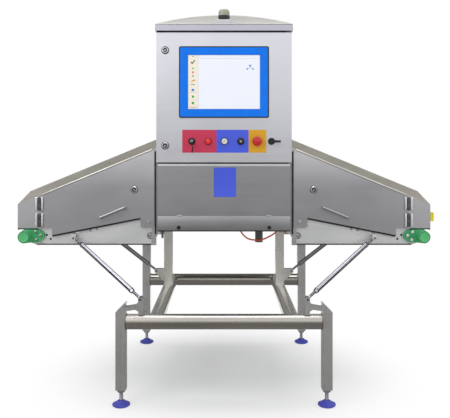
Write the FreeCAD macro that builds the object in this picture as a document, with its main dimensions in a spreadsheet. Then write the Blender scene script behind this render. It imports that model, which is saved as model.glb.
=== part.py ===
import FreeCAD, Part
import math
import os
import re

import Sketcher

# X-ray inspection system for food lines, in millimetres, +Z up, +X along the belt, -Y towards the operator.
# The origin is on the floor under the middle of the four levelling feet.

SIZES = {
    # Welded stand: half spacings of the legs, square tube, round tube and heights above the floor.
    "leg_x": 406.0,
    "leg_y": 425.0,
    "leg_side": 40.0,
    "leg_bottom": 66.0,
    "leg_shoulder_rise": 40.0,
    "tube_wall": 2.0,
    "bar_radius": 30.0,
    "bar_height": 332.0,
    "rail_x": 272.0,
    "post_y": 192.0,
    "plug_depth": 22.0,
    # Levelling feet.
    "pad_radius": 35.0,
    "pad_height": 22.0,
    "spindle_radius": 7.0,
    "spindle_reach": 45.0,
    "nut_width": 24.0,
    "nut_height": 9.0,
    # Stays under the two conveyor wings, given at their pins.
    "stay_foot_x": 329.0,
    "stay_foot_rise": 90.0,
    "stay_head_x": 640.0,
    "stay_head_z": 636.0,
    "rear_stay_head_x": 602.0,
    "stay_tube_radius": 10.0,
    "stay_rod_radius": 5.0,
    "stay_offset": 22.0,
    "eye_radius": 9.0,
    "eye_width": 12.0,
    "lug_gap": 24.0,
    "lug_wall": 5.0,
    "pin_radius": 5.0,
    # Inspection head: the shielded housing that the belt runs through.
    "head_x": 290.0,
    "head_front": -213.0,
    "head_rear": 445.0,
    "head_bottom": 667.0,
    "head_top": 953.0,
    "head_wall": 3.0,
    "panel_margin": 7.0,
    "panel_depth": 12.0,
    "duct_floor": 9.0,
    "duct_front": -195.0,
    "duct_rear": 160.0,
    "duct_top": 905.0,
    "beam_slot": 16.0,
    # Upper cabinet with its door.
    "cabinet_x": 287.0,
    "cabinet_front": -216.0,
    "cabinet_rear": 330.0,
    "cabinet_top": 1514.0,
    "cabinet_lip": 20.0,
    "sheet": 2.0,
    "door_front": -240.0,
    "door_depth": 22.0,
    "door_bottom": 958.0,
    "door_top": 1508.0,
    "pivot_x": 281.0,
    "pivot_y": -228.0,
    "pivot_reach": 8.0,
    "hinge_pin": 3.0,
    # Roof, level along its front edge and arched at the back.
    "roof_x": 291.0,
    "roof_front": -254.0,
    "roof_rear": 336.0,
    "roof_eave_height": 28.0,
    "roof_eave_rise": 2.0,
    "roof_corner_height": 158.0,
    "roof_crown_height": 188.0,
    "beacon_y": -216.0,
    "beacon_radius": 24.0,
    "beacon_socket": 20.0,
    "beacon_dome": 30.0,
    # Screen and controls.
    "screen_z": 1298.0,
    "bezel_x": 190.5,
    "bezel_z": 151.5,
    "bezel_proud": 4.0,
    "bezel_lap": 9.0,
    "computer_depth": 58.0,
    "glass_x": 152.0,
    "glass_z": 114.0,
    "controls_z": 1047.0,
    "key_x": -136.0,
    "reset_x": -67.0,
    "start_x": 2.0,
    "stop_x": 71.0,
    "estop_x": 140.0,
    "lever_x": 201.0,
    "ring_radius": 15.0,
    "ring_height": 5.0,
    "barrel_radius": 11.0,
    "barrel_length": 34.0,
    "stem_radius": 8.0,
    "cap_radius": 12.0,
    "travel": 3.0,
    "mushroom_radius": 20.0,
    "lock_x": -249.0,
    "lock_high": 1433.0,
    "lock_low": 1029.0,
    "lock_radius": 14.0,
    "lock_reach": 26.0,
    "key_thickness": 2.4,
    # X-ray source and detector.
    "tank_radius": 95.0,
    "tank_length": 340.0,
    "detector_x": 22.0,
    # Conveyor wings: hood, doors and side plates.
    "flap_in": 299.0,
    "wing_out": 885.0,
    "eave_in": 1021.0,
    "eave_out": 777.0,
    "ridge_rise": 46.0,
    "wing_front": -205.0,
    "wing_rear": 165.0,
    "wing_bottom": 602.0,
    "mouth_sill": 667.0,
    "hood_sill": 672.0,
    "mouth_top": 765.0,
    "jamb": 33.0,
    "hinge_inset": 96.0,
    "hinge_y": -218.0,
    "hinge_low": 683.0,
    "hinge_high": 753.0,
    "hinge_height": 56.0,
    "knuckle_radius": 6.0,
    "leaf_width": 16.0,
    "flap_front": -212.0,
    "flap_depth": 6.0,
    "flap_sill_out": 646.0,
    "flap_sill_in": 720.0,
    "flap_step_inset": 149.0,
    "flap_step": 676.0,
    "flap_sill_in_x": 360.0,
    "tab_bottom": 678.0,
    "latch_x": 384.0,
    "latch_z": 841.0,
    "handle_out_x": 527.0,
    "handle_in_x": 425.0,
    "handle_out_z": 723.0,
    "handle_in_z": 765.0,
    "handle_radius": 5.0,
    "handle_stand": 24.0,
    "plate_front": -195.0,
    "plate_wall": 5.0,
    # Belt, rollers and bearings.
    "roller_inset": 37.0,
    "roller_z": 641.0,
    "roller_radius": 30.0,
    "snub_x": 317.0,
    "snub_z": 642.0,
    "inner_x": 245.0,
    "inner_z": 702.0,
    "snub_radius": 22.0,
    "crest_x": 330.0,
    "crest_radius": 60.0,
    "belt_top": 774.0,
    "belt_wall": 2.0,
    "belt_front": -170.0,
    "belt_rear": 130.0,
    "belt_gap": 0.3,
    "bed_wall": 3.0,
    "shaft_radius": 10.0,
    "shaft_nose": 34.0,
    "shaft_tail": 24.0,
    "cap_length": 50.0,
    # Cable under the head.
    "cable_radius": 3.5,
    "gland_drop": 6.0,
    "fit": 0.05,
    "rest_gap": 0.3,
}

doc = FreeCAD.newDocument("inspection_system")
sheet = doc.addObject("Spreadsheet::Sheet", "Sizes")
for row, (alias, size) in enumerate(SIZES.items(), start=1):
    sheet.set("A%d" % row, alias.replace("_", " "))
    sheet.set("B%d" % row, str(size))
    sheet.setAlias("B%d" % row, alias)
doc.recompute()

nodes = {}
sockets = []


def bound(expression):
    """Return the expression with each size's name pointing at its cell."""
    return re.sub(
        r"[a-z][a-z_]+",
        lambda word: "Sizes." + word.group(0) if word.group(0) in SIZES else word.group(0),
        str(expression),
    )


def number(expression):
    """Return an expression's present value as a plain number."""
    return float(sheet.evalExpression(bound(expression)))


def tie(item, prop, expression):
    """Bind one property of an object to an expression of the sheet's sizes."""
    item.setExpression(prop, bound(expression))


def put(item, place):
    """Bind an object's place to three expressions."""
    for letter, expression in zip("xyz", place):
        tie(item, "Placement.Base." + letter, expression)
    return item


def keep(label, item):
    """Name an object as one sub-part of the machine."""
    item.Label = label
    nodes[label] = item
    return item


def box(name, xs, ys, zs):
    """A block between a low and a high face on each axis."""
    item = doc.addObject("Part::Box", name)
    for prop, span in (("Length", xs), ("Width", ys), ("Height", zs)):
        tie(item, prop, "(%s) - (%s)" % (span[1], span[0]))
    return put(item, (xs[0], ys[0], zs[0]))


TURNS = {
    "x": FreeCAD.Rotation(FreeCAD.Vector(0, 1, 0), 90),
    "y": FreeCAD.Rotation(FreeCAD.Vector(1, 0, 0), -90),
    "z": FreeCAD.Rotation(),
    "front": FreeCAD.Rotation(FreeCAD.Vector(1, 0, 0), 90),
}


def cylinder(name, axis, centre, span, radius):
    """A round bar along an axis, given the two other coordinates of its centre."""
    item = doc.addObject("Part::Cylinder", name)
    tie(item, "Radius", radius)
    tie(item, "Height", "(%s) - (%s)" % (span[1], span[0]))
    place = list(centre)
    place.insert("xyz".index(axis), span[0])
    item.Placement = FreeCAD.Placement(FreeCAD.Vector(), TURNS[axis])
    return put(item, place)


def rod(name, start, end, radius):
    """A round bar between two points in space."""
    low = FreeCAD.Vector(*[number(each) for each in start])
    high = FreeCAD.Vector(*[number(each) for each in end])
    item = doc.addObject("Part::Cylinder", name)
    tie(item, "Radius", radius)
    item.Height = (high - low).Length
    item.Placement = FreeCAD.Placement(low, FreeCAD.Rotation(FreeCAD.Vector(0, 0, 1), high - low))
    return item


def fuse(name, *parts, refine=True):
    """Several overlapping shapes as one solid."""
    item = doc.addObject("Part::MultiFuse", name)
    item.Shapes = list(parts)
    item.Refine = refine
    return item


def group(name, *parts):
    """Separate solids that share one sub-part."""
    item = doc.addObject("Part::Compound", name)
    item.Links = list(parts)
    return item


def cut(name, base, *tools):
    """A shape with other shapes taken out of it."""
    item = doc.addObject("Part::Cut", name)
    item.Base = base
    item.Tool = tools[0] if len(tools) == 1 else fuse(name + "_tools", *tools)
    item.Refine = True
    return item


def mirrored(name, source):
    """The same shape on the other side of the machine's middle plane."""
    item = doc.addObject("Part::Mirroring", name)
    item.Source = source
    item.Normal = FreeCAD.Vector(1, 0, 0)
    item.Base = FreeCAD.Vector(0, 0, 0)
    return item


PLANES = {"xy": ("XY_Plane", 1), "xz": ("XZ_Plane", -1), "yz": ("YZ_Plane", 1)}


def new_sketch(body, name, plane, offset):
    """An empty sketch on one of the body's own planes, moved along that plane's normal axis."""
    role, sign = PLANES[plane]
    sketch = body.newObject("Sketcher::SketchObject", name)
    origin_plane = [each for each in body.Origin.OriginFeatures if each.Role == role][0]
    sketch.AttachmentSupport = [(origin_plane, "")]
    sketch.MapMode = "FlatFace"
    tie(sketch, "AttachmentOffset.Base.z", "%d * (%s)" % (sign, offset))
    return sketch


def polygon(body, name, plane, points, offset):
    """A closed outline whose corners are pairs of expressions."""
    sketch = new_sketch(body, name, plane, offset)
    corners = [FreeCAD.Vector(number(u), number(v), 0) for u, v in points]
    for index, corner in enumerate(corners):
        following = corners[(index + 1) % len(corners)]
        sketch.addGeometry(Part.LineSegment(corner, following), False)
    for index, (u, v) in enumerate(points):
        following = (index + 1) % len(points)
        sketch.addConstraint(Sketcher.Constraint("Coincident", index, 2, following, 1))
        for kind, expression in (("DistanceX", u), ("DistanceY", v)):
            constraint = sketch.addConstraint(Sketcher.Constraint(kind, index, 1, number(expression)))
            tie(sketch, "Constraints[%d]" % constraint, expression)
    return sketch


def discs(body, name, plane, circles, offset):
    """A sketch of circles, each given by its centre and radius."""
    sketch = new_sketch(body, name, plane, offset)
    for index, (u, v, radius) in enumerate(circles):
        centre = FreeCAD.Vector(number(u), number(v), 0)
        sketch.addGeometry(Part.Circle(centre, FreeCAD.Vector(0, 0, 1), number(radius)), False)
        for kind, expression in (("DistanceX", u), ("DistanceY", v)):
            constraint = sketch.addConstraint(Sketcher.Constraint(kind, index, 3, number(expression)))
            tie(sketch, "Constraints[%d]" % constraint, expression)
        constraint = sketch.addConstraint(Sketcher.Constraint("Radius", index, number(radius)))
        tie(sketch, "Constraints[%d]" % constraint, radius)
    return sketch


def padded(name, plane, points, span):
    """A body made by padding one outline from a low to a high face."""
    body = doc.addObject("PartDesign::Body", name)
    start = span[1] if plane == "xz" else span[0]
    outline = polygon(body, name + "_outline", plane, points, start)
    pad = body.newObject("PartDesign::Pad", name + "_pad")
    pad.Profile = outline
    tie(pad, "Length", "(%s) - (%s)" % (span[1], span[0]))
    return body


def pocketed(body, name, outline, depth):
    """Cut an outline into a body along the direction that its sketch looks away from."""
    pocket = body.newObject("PartDesign::Pocket", name)
    pocket.Profile = outline
    tie(pocket, "Length", depth)
    sockets.append(pocket)
    return pocket


def pocket_shape(body, name, plane, points, span):
    """Cut a polygon out of a body between a low and a high face."""
    start = span[0] if plane == "xz" else span[1]
    outline = polygon(body, name + "_outline", plane, points, start)
    return pocketed(body, name, outline, "(%s) - (%s)" % (span[1], span[0]))


def pocket_holes(body, name, plane, circles, span):
    """Cut round holes out of a body between a low and a high face."""
    start = span[0] if plane == "xz" else span[1]
    outline = discs(body, name + "_outline", plane, circles, start)
    return pocketed(body, name, outline, "(%s) - (%s)" % (span[1], span[0]))


def rectangle(us, vs):
    """The four corners between two pairs of expressions."""
    return [(us[0], vs[0]), (us[1], vs[0]), (us[1], vs[1]), (us[0], vs[1])]


def turned(name, profile, place, axis="z"):
    """A body turned from a profile of (radius, height) pairs, its height running along the axis."""
    body = doc.addObject("PartDesign::Body", name)
    outline = polygon(body, name + "_outline", "xz", profile, "0")
    turn = body.newObject("PartDesign::Revolution", name + "_turn")
    turn.Profile = outline
    turn.ReferenceAxis = (outline, ["V_Axis"])
    turn.Angle = 360
    body.Placement = FreeCAD.Placement(FreeCAD.Vector(), TURNS[axis])
    return put(body, place)


def rounded(body, name, radius, picks, axis):
    """Round the edges of a body's last feature that run along an axis through the picked corners."""
    doc.recompute()
    feature = body.Tip
    direction = FreeCAD.Vector(*[float(letter == axis) for letter in "xyz"])
    spots = [[number(each) for each in pick] for pick in picks]
    edges = []
    for index, edge in enumerate(feature.Shape.Edges, start=1):
        if len(edge.Vertexes) != 2:
            continue
        run = edge.Vertexes[1].Point - edge.Vertexes[0].Point
        if run.Length < 0.1 or run.cross(direction).Length > 0.001 * run.Length:
            continue
        flat = [value for value, letter in zip(edge.Vertexes[0].Point, "xyz") if letter != axis]
        if any(math.dist(flat, spot) < 0.05 for spot in spots):
            edges.append("Edge%d" % index)
    fillet = body.newObject("PartDesign::Fillet", name)
    fillet.Base = (feature, edges)
    tie(fillet, "Radius", radius)
    return fillet


# Welded stand


def hollow_box(name, xs, ys, zs, wall="tube_wall"):
    """A closed square tube."""
    inner = [("(%s) + %s" % (low, wall), "(%s) - %s" % (high, wall)) for low, high in (xs, ys, zs)]
    return cut(name, box(name + "_outside", xs, ys, zs), box(name + "_inside", *inner))


def lug_pair(name, points, middle):
    """Two parallel plates of one outline, a clevis gap apart, with a hole for the pin."""
    plates = []
    for side, sign in (("near", "-"), ("far", "+")):
        inner = "%s %s lug_gap / 2" % (middle, sign)
        outer = "%s %s (lug_gap / 2 + lug_wall)" % (middle, sign)
        span = (outer, inner) if sign == "-" else (inner, outer)
        plates.append(padded(name + "_" + side, "xz", points, span))
    return plates


# The legs' shoulders and the stays' lower pins follow the cross bars.
LEG_SHOULDER = "(bar_height + leg_shoulder_rise)"
STAY_FOOT_Z = "(bar_height + stay_foot_rise)"


def front_leg(side, name):
    """A short front leg with a slanted top and the clevis of its stay; side is -1 on the left."""
    half = "leg_side / 2"
    near = "%d * (leg_x - %s)" % (side, half)
    far = "%d * (leg_x + %s)" % (side, half)
    middle = "%d * leg_x" % side
    ys = ("-leg_y - " + half, "-leg_y + " + half)
    outline = [
        (far, "leg_bottom"),
        (near, "leg_bottom"),
        (near, LEG_SHOULDER + " + leg_side"),
        (far, LEG_SHOULDER),
    ]
    tube = padded(name + "_tube", "xz", outline, ys)
    low, high = "%d * leg_x - %s" % (side, half), "%d * leg_x + %s" % (side, half)
    room = box(
        name + "_room",
        ("%s + tube_wall" % low, "%s - tube_wall" % high),
        ("%s + tube_wall" % ys[0], "%s - tube_wall" % ys[1]),
        ("leg_bottom + plug_depth", LEG_SHOULDER + " - tube_wall"),
    )
    thread = cylinder(
        name + "_thread",
        "z",
        (middle, "-leg_y"),
        ("leg_bottom - 1", "leg_bottom + plug_depth + 1"),
        "spindle_radius + fit",
    )
    pin_x = "%d * stay_foot_x" % side
    bracket = [
        (near, STAY_FOOT_Z + " - 45"),
        ("%s + %d * 20" % (pin_x, side), STAY_FOOT_Z + " - 40"),
        ("%s + %d * 8" % (pin_x, side), STAY_FOOT_Z + " - 47"),
        ("%s + %d * 8" % (pin_x, side), "bar_height + bar_radius - 2"),
        ("%s - %d * 12" % (pin_x, side), "bar_height + bar_radius - 2"),
        ("%s - %d * eye_radius" % (pin_x, side), STAY_FOOT_Z + " + 4"),
        ("%s - %d * 4" % (pin_x, side), STAY_FOOT_Z + " + eye_radius"),
        ("%s + %d * 4" % (pin_x, side), STAY_FOOT_Z + " + eye_radius"),
        ("%s + %d * eye_radius" % (pin_x, side), STAY_FOOT_Z + " + 4"),
        ("%s + %d * eye_radius" % (pin_x, side), STAY_FOOT_Z + " - 14"),
        ("%s + %d * 20" % (pin_x, side), STAY_FOOT_Z + " - 24"),
        (near, STAY_FOOT_Z + " - 30"),
    ]
    lugs = lug_pair(name + "_lug", bracket, "-leg_y")
    bore = cylinder(
        name + "_bore",
        "y",
        (pin_x, STAY_FOOT_Z),
        ("-leg_y - 40", "-leg_y + 40"),
        "pin_radius + fit",
    )
    bar = cylinder(
        name + "_bar_space",
        "x",
        ("-leg_y", "bar_height"),
        ("-leg_x + %s" % half, "leg_x - %s" % half),
        "bar_radius",
    )
    return cut(name, fuse(name + "_weld", tube, *lugs), room, thread, bore, bar)


def rear_leg(side, name):
    """A tall rear leg that reaches the underside of the inspection head."""
    half = "leg_side / 2"
    xs = ("%d * leg_x - %s" % (side, half), "%d * leg_x + %s" % (side, half))
    ys = ("leg_y - " + half, "leg_y + " + half)
    tube = box(name + "_tube", xs, ys, ("leg_bottom", "head_bottom"))
    room = box(
        name + "_room",
        (xs[0] + " + tube_wall", xs[1] + " - tube_wall"),
        (ys[0] + " + tube_wall", ys[1] + " - tube_wall"),
        ("leg_bottom + plug_depth", "head_bottom - tube_wall"),
    )
    thread = cylinder(
        name + "_thread",
        "z",
        ("%d * leg_x" % side, "leg_y"),
        ("leg_bottom - 1", "leg_bottom + plug_depth + 1"),
        "spindle_radius + fit",
    )
    return cut(name, tube, room, thread)


def cross_bar(name, y):
    """A round bar welded between two legs."""
    ends = ("-leg_x + leg_side / 2", "leg_x - leg_side / 2")
    outside = cylinder(name + "_outside", "x", (y, "bar_height"), ends, "bar_radius")
    inside = cylinder(name + "_inside", "x", (y, "bar_height"), ends, "bar_radius - tube_wall")
    return cut(name, outside, inside)


def side_rail(side, name):
    """A round rail from the front bar to the rear bar, its ends shaped to them."""
    x = "%d * rail_x" % side
    ends = ("-leg_y", "leg_y")
    outside = cylinder(name + "_outside", "y", (x, "bar_height"), ends, "bar_radius")
    inside = cylinder(name + "_inside", "y", (x, "bar_height"), ends, "bar_radius - tube_wall")
    copes = []
    for end in ends:
        copes.append(
            cylinder(
                name + "_cope_%d" % len(copes),
                "x",
                (end, "bar_height"),
                ("-leg_x", "leg_x"),
                "bar_radius",
            )
        )
    return cut(name, outside, inside, *copes)


def inner_post(side, name):
    """A square post on a side rail that carries the head, with the clevis of a rear stay."""
    half = "leg_side / 2"
    xs = ("%d * rail_x - %s" % (side, half), "%d * rail_x + %s" % (side, half))
    ys = ("post_y - " + half, "post_y + " + half)
    tube = box(name + "_tube", xs, ys, ("bar_height", "head_bottom"))
    room = box(
        name + "_room",
        (xs[0] + " + tube_wall", xs[1] + " - tube_wall"),
        (ys[0] + " + tube_wall", ys[1] + " - tube_wall"),
        ("bar_height + bar_radius + tube_wall", "head_bottom - tube_wall"),
    )
    saddle = cylinder(
        name + "_saddle",
        "y",
        ("%d * rail_x" % side, "bar_height"),
        ("post_y - 40", "post_y + 40"),
        "bar_radius",
    )
    pin_x = "%d * stay_foot_x" % side
    face = "%d * (rail_x + %s - 1)" % (side, half)
    bracket = [
        (face, STAY_FOOT_Z + " - 50"),
        ("%s + %d * eye_radius" % (pin_x, side), STAY_FOOT_Z + " - 6"),
        ("%s + %d * eye_radius" % (pin_x, side), STAY_FOOT_Z + " + 4"),
        ("%s + %d * 4" % (pin_x, side), STAY_FOOT_Z + " + eye_radius"),
        (face, STAY_FOOT_Z + " + eye_radius"),
    ]
    lugs = lug_pair(name + "_lug", bracket, "post_y")
    bore = cylinder(
        name + "_bore",
        "y",
        (pin_x, STAY_FOOT_Z),
        ("post_y - 40", "post_y + 40"),
        "pin_radius + fit",
    )
    return cut(name, fuse(name + "_weld", tube, *lugs), room, saddle, bore)


def levelling_foot(name, x, y):
    """A moulded pad, a threaded spindle and its lock nut under one leg."""
    pad = turned(
        name + "_pad",
        [
            ("0", "0"),
            ("pad_radius - 5", "0"),
            ("pad_radius", "4"),
            ("pad_radius", "9"),
            ("pad_radius * 0.55", "pad_height - 5"),
            ("pad_radius * 0.4", "pad_height"),
            ("0", "pad_height"),
        ],
        (x, y, "0"),
    )
    spindle = cylinder(
        name + "_spindle",
        "z",
        (x, y),
        ("pad_height", "leg_bottom + spindle_reach"),
        "spindle_radius",
    )
    prism = doc.addObject("Part::Prism", name + "_prism")
    prism.Polygon = 6
    tie(prism, "Circumradius", "nut_width / 2 / cos(30)")
    tie(prism, "Height", "nut_height")
    put(prism, (x, y, "leg_bottom - nut_height - rest_gap"))
    hole = cylinder(
        name + "_nut_hole",
        "z",
        (x, y),
        ("leg_bottom - nut_height - 5", "leg_bottom + 5"),
        "spindle_radius",
    )
    return group(name, pad, spindle, cut(name + "_nut", prism, hole))


SIDES = ((-1, "left"), (1, "right"))
for sign, side in SIDES:
    keep("front_leg_" + side, front_leg(sign, "front_leg_%s_shape" % side))
    keep("rear_leg_" + side, rear_leg(sign, "rear_leg_%s_shape" % side))
    keep("side_rail_" + side, side_rail(sign, "side_rail_%s_shape" % side))
    keep("inner_post_" + side, inner_post(sign, "inner_post_%s_shape" % side))
    for end, y in (("front", "-leg_y"), ("rear", "leg_y")):
        label = "levelling_foot_%s_%s" % (end, side)
        keep(label, levelling_foot(label + "_shape", "%d * leg_x" % sign, y))
keep("front_cross_bar", cross_bar("front_bar_shape", "-leg_y"))
keep("rear_cross_bar", cross_bar("rear_bar_shape", "leg_y"))
keep(
    "rear_head_beam",
    hollow_box(
        "rear_head_beam_shape",
        ("-leg_x + leg_side / 2", "leg_x - leg_side / 2"),
        ("leg_y - leg_side / 2", "leg_y + leg_side / 2"),
        ("head_bottom - leg_side", "head_bottom"),
    ),
)


# Stays


def stay(name, foot, head):
    """A turnbuckle stay: a tube between two threaded rod ends, with a pin through each eye."""
    low = FreeCAD.Vector(*[number(each) for each in foot])
    high = FreeCAD.Vector(*[number(each) for each in head])
    run = high - low
    along = FreeCAD.Vector(run)
    along.normalize()
    length = run.Length
    neck = number("eye_radius") + 46
    tube = doc.addObject("Part::Cylinder", name + "_tube")
    tie(tube, "Radius", "stay_tube_radius")
    tube.Height = length - 2 * neck
    turn = FreeCAD.Rotation(FreeCAD.Vector(0, 0, 1), run)
    tube.Placement = FreeCAD.Placement(low + along * neck, turn)
    solids = [tube]
    for end, centre, way in (("foot", low, along), ("head", high, along * -1)):
        eye = doc.addObject("Part::Cylinder", "%s_%s_eye" % (name, end))
        tie(eye, "Radius", "eye_radius")
        tie(eye, "Height", "eye_width")
        eye.Placement = FreeCAD.Placement(
            centre - FreeCAD.Vector(0, number("eye_width") / 2, 0), TURNS["y"]
        )
        shank = doc.addObject("Part::Cylinder", "%s_%s_shank" % (name, end))
        tie(shank, "Radius", "stay_rod_radius")
        shank.Height = neck
        shank.Placement = FreeCAD.Placement(centre, FreeCAD.Rotation(FreeCAD.Vector(0, 0, 1), way))
        nut = doc.addObject("Part::Prism", "%s_%s_nut" % (name, end))
        nut.Polygon = 6
        tie(nut, "Circumradius", "stay_tube_radius")
        nut.Height = 7
        nut.Placement = FreeCAD.Placement(
            centre + way * (neck - 8), FreeCAD.Rotation(FreeCAD.Vector(0, 0, 1), way)
        )
        pin = doc.addObject("Part::Cylinder", "%s_%s_pin" % (name, end))
        tie(pin, "Radius", "pin_radius")
        tie(pin, "Height", "lug_gap + 2 * lug_wall + 4")
        pin.Placement = FreeCAD.Placement(
            centre - FreeCAD.Vector(0, number("lug_gap / 2 + lug_wall + 2"), 0), TURNS["y"]
        )
        spacer = doc.addObject("Part::Cylinder", "%s_%s_spacer" % (name, end))
        tie(spacer, "Radius", "eye_radius - 2")
        tie(spacer, "Height", "lug_gap - 2 * rest_gap")
        spacer.Placement = FreeCAD.Placement(
            centre - FreeCAD.Vector(0, number("lug_gap / 2 - rest_gap"), 0), TURNS["y"]
        )
        pieces = (eye, shank, nut, pin, spacer)
        solids.append(fuse("%s_%s_end" % (name, end), *pieces, refine=False))
    return group(name, *solids)


for sign, side in SIDES:
    front = stay(
        "stay_front_%s_shape" % side,
        ("%d * stay_foot_x" % sign, "-leg_y", STAY_FOOT_Z),
        ("%d * stay_head_x" % sign, "plate_front - stay_offset", "stay_head_z"),
    )
    keep("stay_front_" + side, front)
    rear = stay(
        "stay_rear_%s_shape" % side,
        ("%d * stay_foot_x" % sign, "post_y", STAY_FOOT_Z),
        ("%d * rear_stay_head_x" % sign, "wing_rear + stay_offset", "stay_head_z"),
    )
    keep("stay_rear_" + side, rear)


# Inspection head


def inspection_housing():
    """The shielded box that the belt runs through, with the tunnel's duct welded in."""
    xs = ("-head_x", "head_x")
    ends = ("-head_x - 1", "head_x + 1")
    lane = ("duct_front", "duct_rear")
    floor = "head_bottom + duct_floor"
    ys, zs = ("head_front", "head_rear"), ("head_bottom", "head_top")
    shell = hollow_box("housing_shell", xs, ys, zs, "head_wall")
    duct_ys = ("duct_front - head_wall", "duct_rear + head_wall")
    duct = box("housing_duct", xs, duct_ys, ("head_bottom", "duct_top"))
    through = box("housing_through", ends, lane, (floor, "duct_top - head_wall"))
    notch_zs = ("head_bottom - 1", floor + " + 1")
    left_notch = box("housing_notch_left", (ends[0], "-inner_x - 25"), lane, notch_zs)
    right_notch = box("housing_notch_right", ("inner_x + 25", ends[1]), lane, notch_zs)
    slot_xs = ("-beam_slot / 2", "beam_slot / 2")
    slot = box("housing_slot", slot_xs, ("belt_front", "belt_rear"), ("duct_top - 10", "head_top + 1"))
    return cut("housing_shape", fuse("housing_weld", shell, duct), through, left_notch, right_notch, slot)


def front_panel():
    """The folded cover on the front of the head."""
    xs = ("-head_x + panel_margin", "head_x - panel_margin")
    zs = ("head_bottom + 1", "head_top - 1")
    outside = "head_front - panel_depth"
    body = padded("front_panel_shape", "xz", rectangle(xs, zs), (outside, "head_front"))
    rounded(body, "front_panel_corners", "4", [(x, z) for x in xs for z in zs], "y")
    inner = [("%s + sheet" % low, "%s - sheet" % high) for low, high in (xs, zs)]
    pocket_shape(body, "front_panel_pan", "xz", rectangle(*inner), (outside + " + sheet", "head_front + 1"))
    return body


keep("inspection_housing", inspection_housing())
keep("front_panel", front_panel())

# Upper cabinet


def cabinet_shell():
    """The welded cabinet above the head, open behind its door, with the door's two pivots."""
    xs = ("-cabinet_x", "cabinet_x")
    ys = ("cabinet_front", "cabinet_rear")
    shell = hollow_box("cabinet_box", xs, ys, ("head_top", "cabinet_top"), "sheet")
    opening = box(
        "cabinet_opening",
        ("-cabinet_x + cabinet_lip", "cabinet_x - cabinet_lip"),
        ("cabinet_front - 1", "cabinet_front + sheet + 1"),
        ("head_top + cabinet_lip", "cabinet_top - cabinet_lip"),
    )
    slot = box(
        "cabinet_slot",
        ("-beam_slot / 2", "beam_slot / 2"),
        ("belt_front", "belt_rear"),
        ("head_top - 1", "head_top + sheet + 1"),
    )
    welded = [cut("cabinet_box_cut", shell, opening, slot)]
    levels = (
        ("upper", "door_top + 1.5", "cabinet_top - 1", "door_top - pivot_reach", "cabinet_top - 2"),
        ("lower", "head_top + 0.5", "door_bottom - 1", "head_top + 1", "door_bottom + pivot_reach"),
    )
    for level, low, high, pin_low, pin_high in levels:
        bracket_xs = ("pivot_x - 8", "cabinet_x")
        bracket_ys = ("pivot_y - 6", "cabinet_front + sheet")
        welded.append(box("pivot_bracket_" + level, bracket_xs, bracket_ys, (low, high)))
        pin = (pin_low, pin_high)
        welded.append(cylinder("pivot_pin_" + level, "z", ("pivot_x", "pivot_y"), pin, "hinge_pin"))
    return fuse("cabinet_shell_shape", *welded)


def lofted(name, kind, body, first, second):
    """A straight-sided loft between two outlines of one body."""
    loft = body.newObject("PartDesign::" + kind, name)
    loft.Profile = first
    loft.Sections = [second]
    loft.Ruled = True
    if kind == "SubtractiveLoft":
        sockets.append(loft)
    return loft


ROOF_EAVE = "cabinet_top + roof_eave_height"


def roof_end(body, name, y, wide, bottom, corner, rise):
    """One end of the roof: level at the bottom, upright at the sides and arched on top."""
    sketch = new_sketch(body, name, "xz", y)
    half, low, high, top = [number(each) for each in (wide, bottom, corner, "%s + %s" % (corner, rise))]
    left_low, right_low = FreeCAD.Vector(-half, low, 0), FreeCAD.Vector(half, low, 0)
    right_high, left_high = FreeCAD.Vector(half, high, 0), FreeCAD.Vector(-half, high, 0)
    sketch.addGeometry(Part.LineSegment(left_low, right_low), False)
    sketch.addGeometry(Part.LineSegment(right_low, right_high), False)
    sketch.addGeometry(Part.Arc(right_high, FreeCAD.Vector(0, top, 0), left_high), False)
    sketch.addGeometry(Part.LineSegment(left_high, left_low), False)
    for index in range(4):
        sketch.addConstraint(Sketcher.Constraint("Coincident", index, 2, (index + 1) % 4, 1))
    places = ((0, "-(%s)" % wide, bottom), (1, wide, bottom), (2, wide, corner), (3, "-(%s)" % wide, corner))
    for index, x, z in places:
        for kind, expression in (("DistanceX", x), ("DistanceY", z)):
            constraint = sketch.addConstraint(Sketcher.Constraint(kind, index, 1, number(expression)))
            tie(sketch, "Constraints[%d]" % constraint, expression)
    radius = "((%s) ^ 2 + (%s) ^ 2) / (2 * (%s))" % (wide, rise, rise)
    constraint = sketch.addConstraint(Sketcher.Constraint("Radius", 2, number(radius)))
    tie(sketch, "Constraints[%d]" % constraint, radius)
    return sketch


def roof():
    """A welded roof box on the cabinet, level along its front edge and arched at the back."""
    body = doc.addObject("PartDesign::Body", "roof_shape")
    for inset, kind in (("0", "AdditiveLoft"), ("sheet", "SubtractiveLoft")):
        wide = "roof_x - " + inset
        bottom = "cabinet_top + " + inset
        front_y = "roof_front + " + inset
        rear_y = "roof_rear - " + inset
        eave_line = "%s - %s" % (ROOF_EAVE, inset)
        corner = "cabinet_top + roof_corner_height - " + inset
        rise = "roof_crown_height - roof_corner_height"
        front = roof_end(body, kind + "_front", front_y, wide, bottom, eave_line, "roof_eave_rise")
        rear = roof_end(body, kind + "_rear", rear_y, wide, bottom, corner, rise)
        lofted("roof_" + kind, kind, body, front, rear)
    return body


keep("cabinet_shell", cabinet_shell())
keep("roof", roof())

ROOF_PITCH = "(roof_crown_height - roof_eave_height - roof_eave_rise) / (roof_rear - roof_front)"


def roof_line(y):
    """The roof's height along its middle, with a small gap for whatever stands on it."""
    return "%s + roof_eave_rise + (%s - roof_front) * %s + rest_gap" % (ROOF_EAVE, y, ROOF_PITCH)


BEACON_SEAT = roof_line("roof_front + 68") + " + 0.5"


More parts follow.
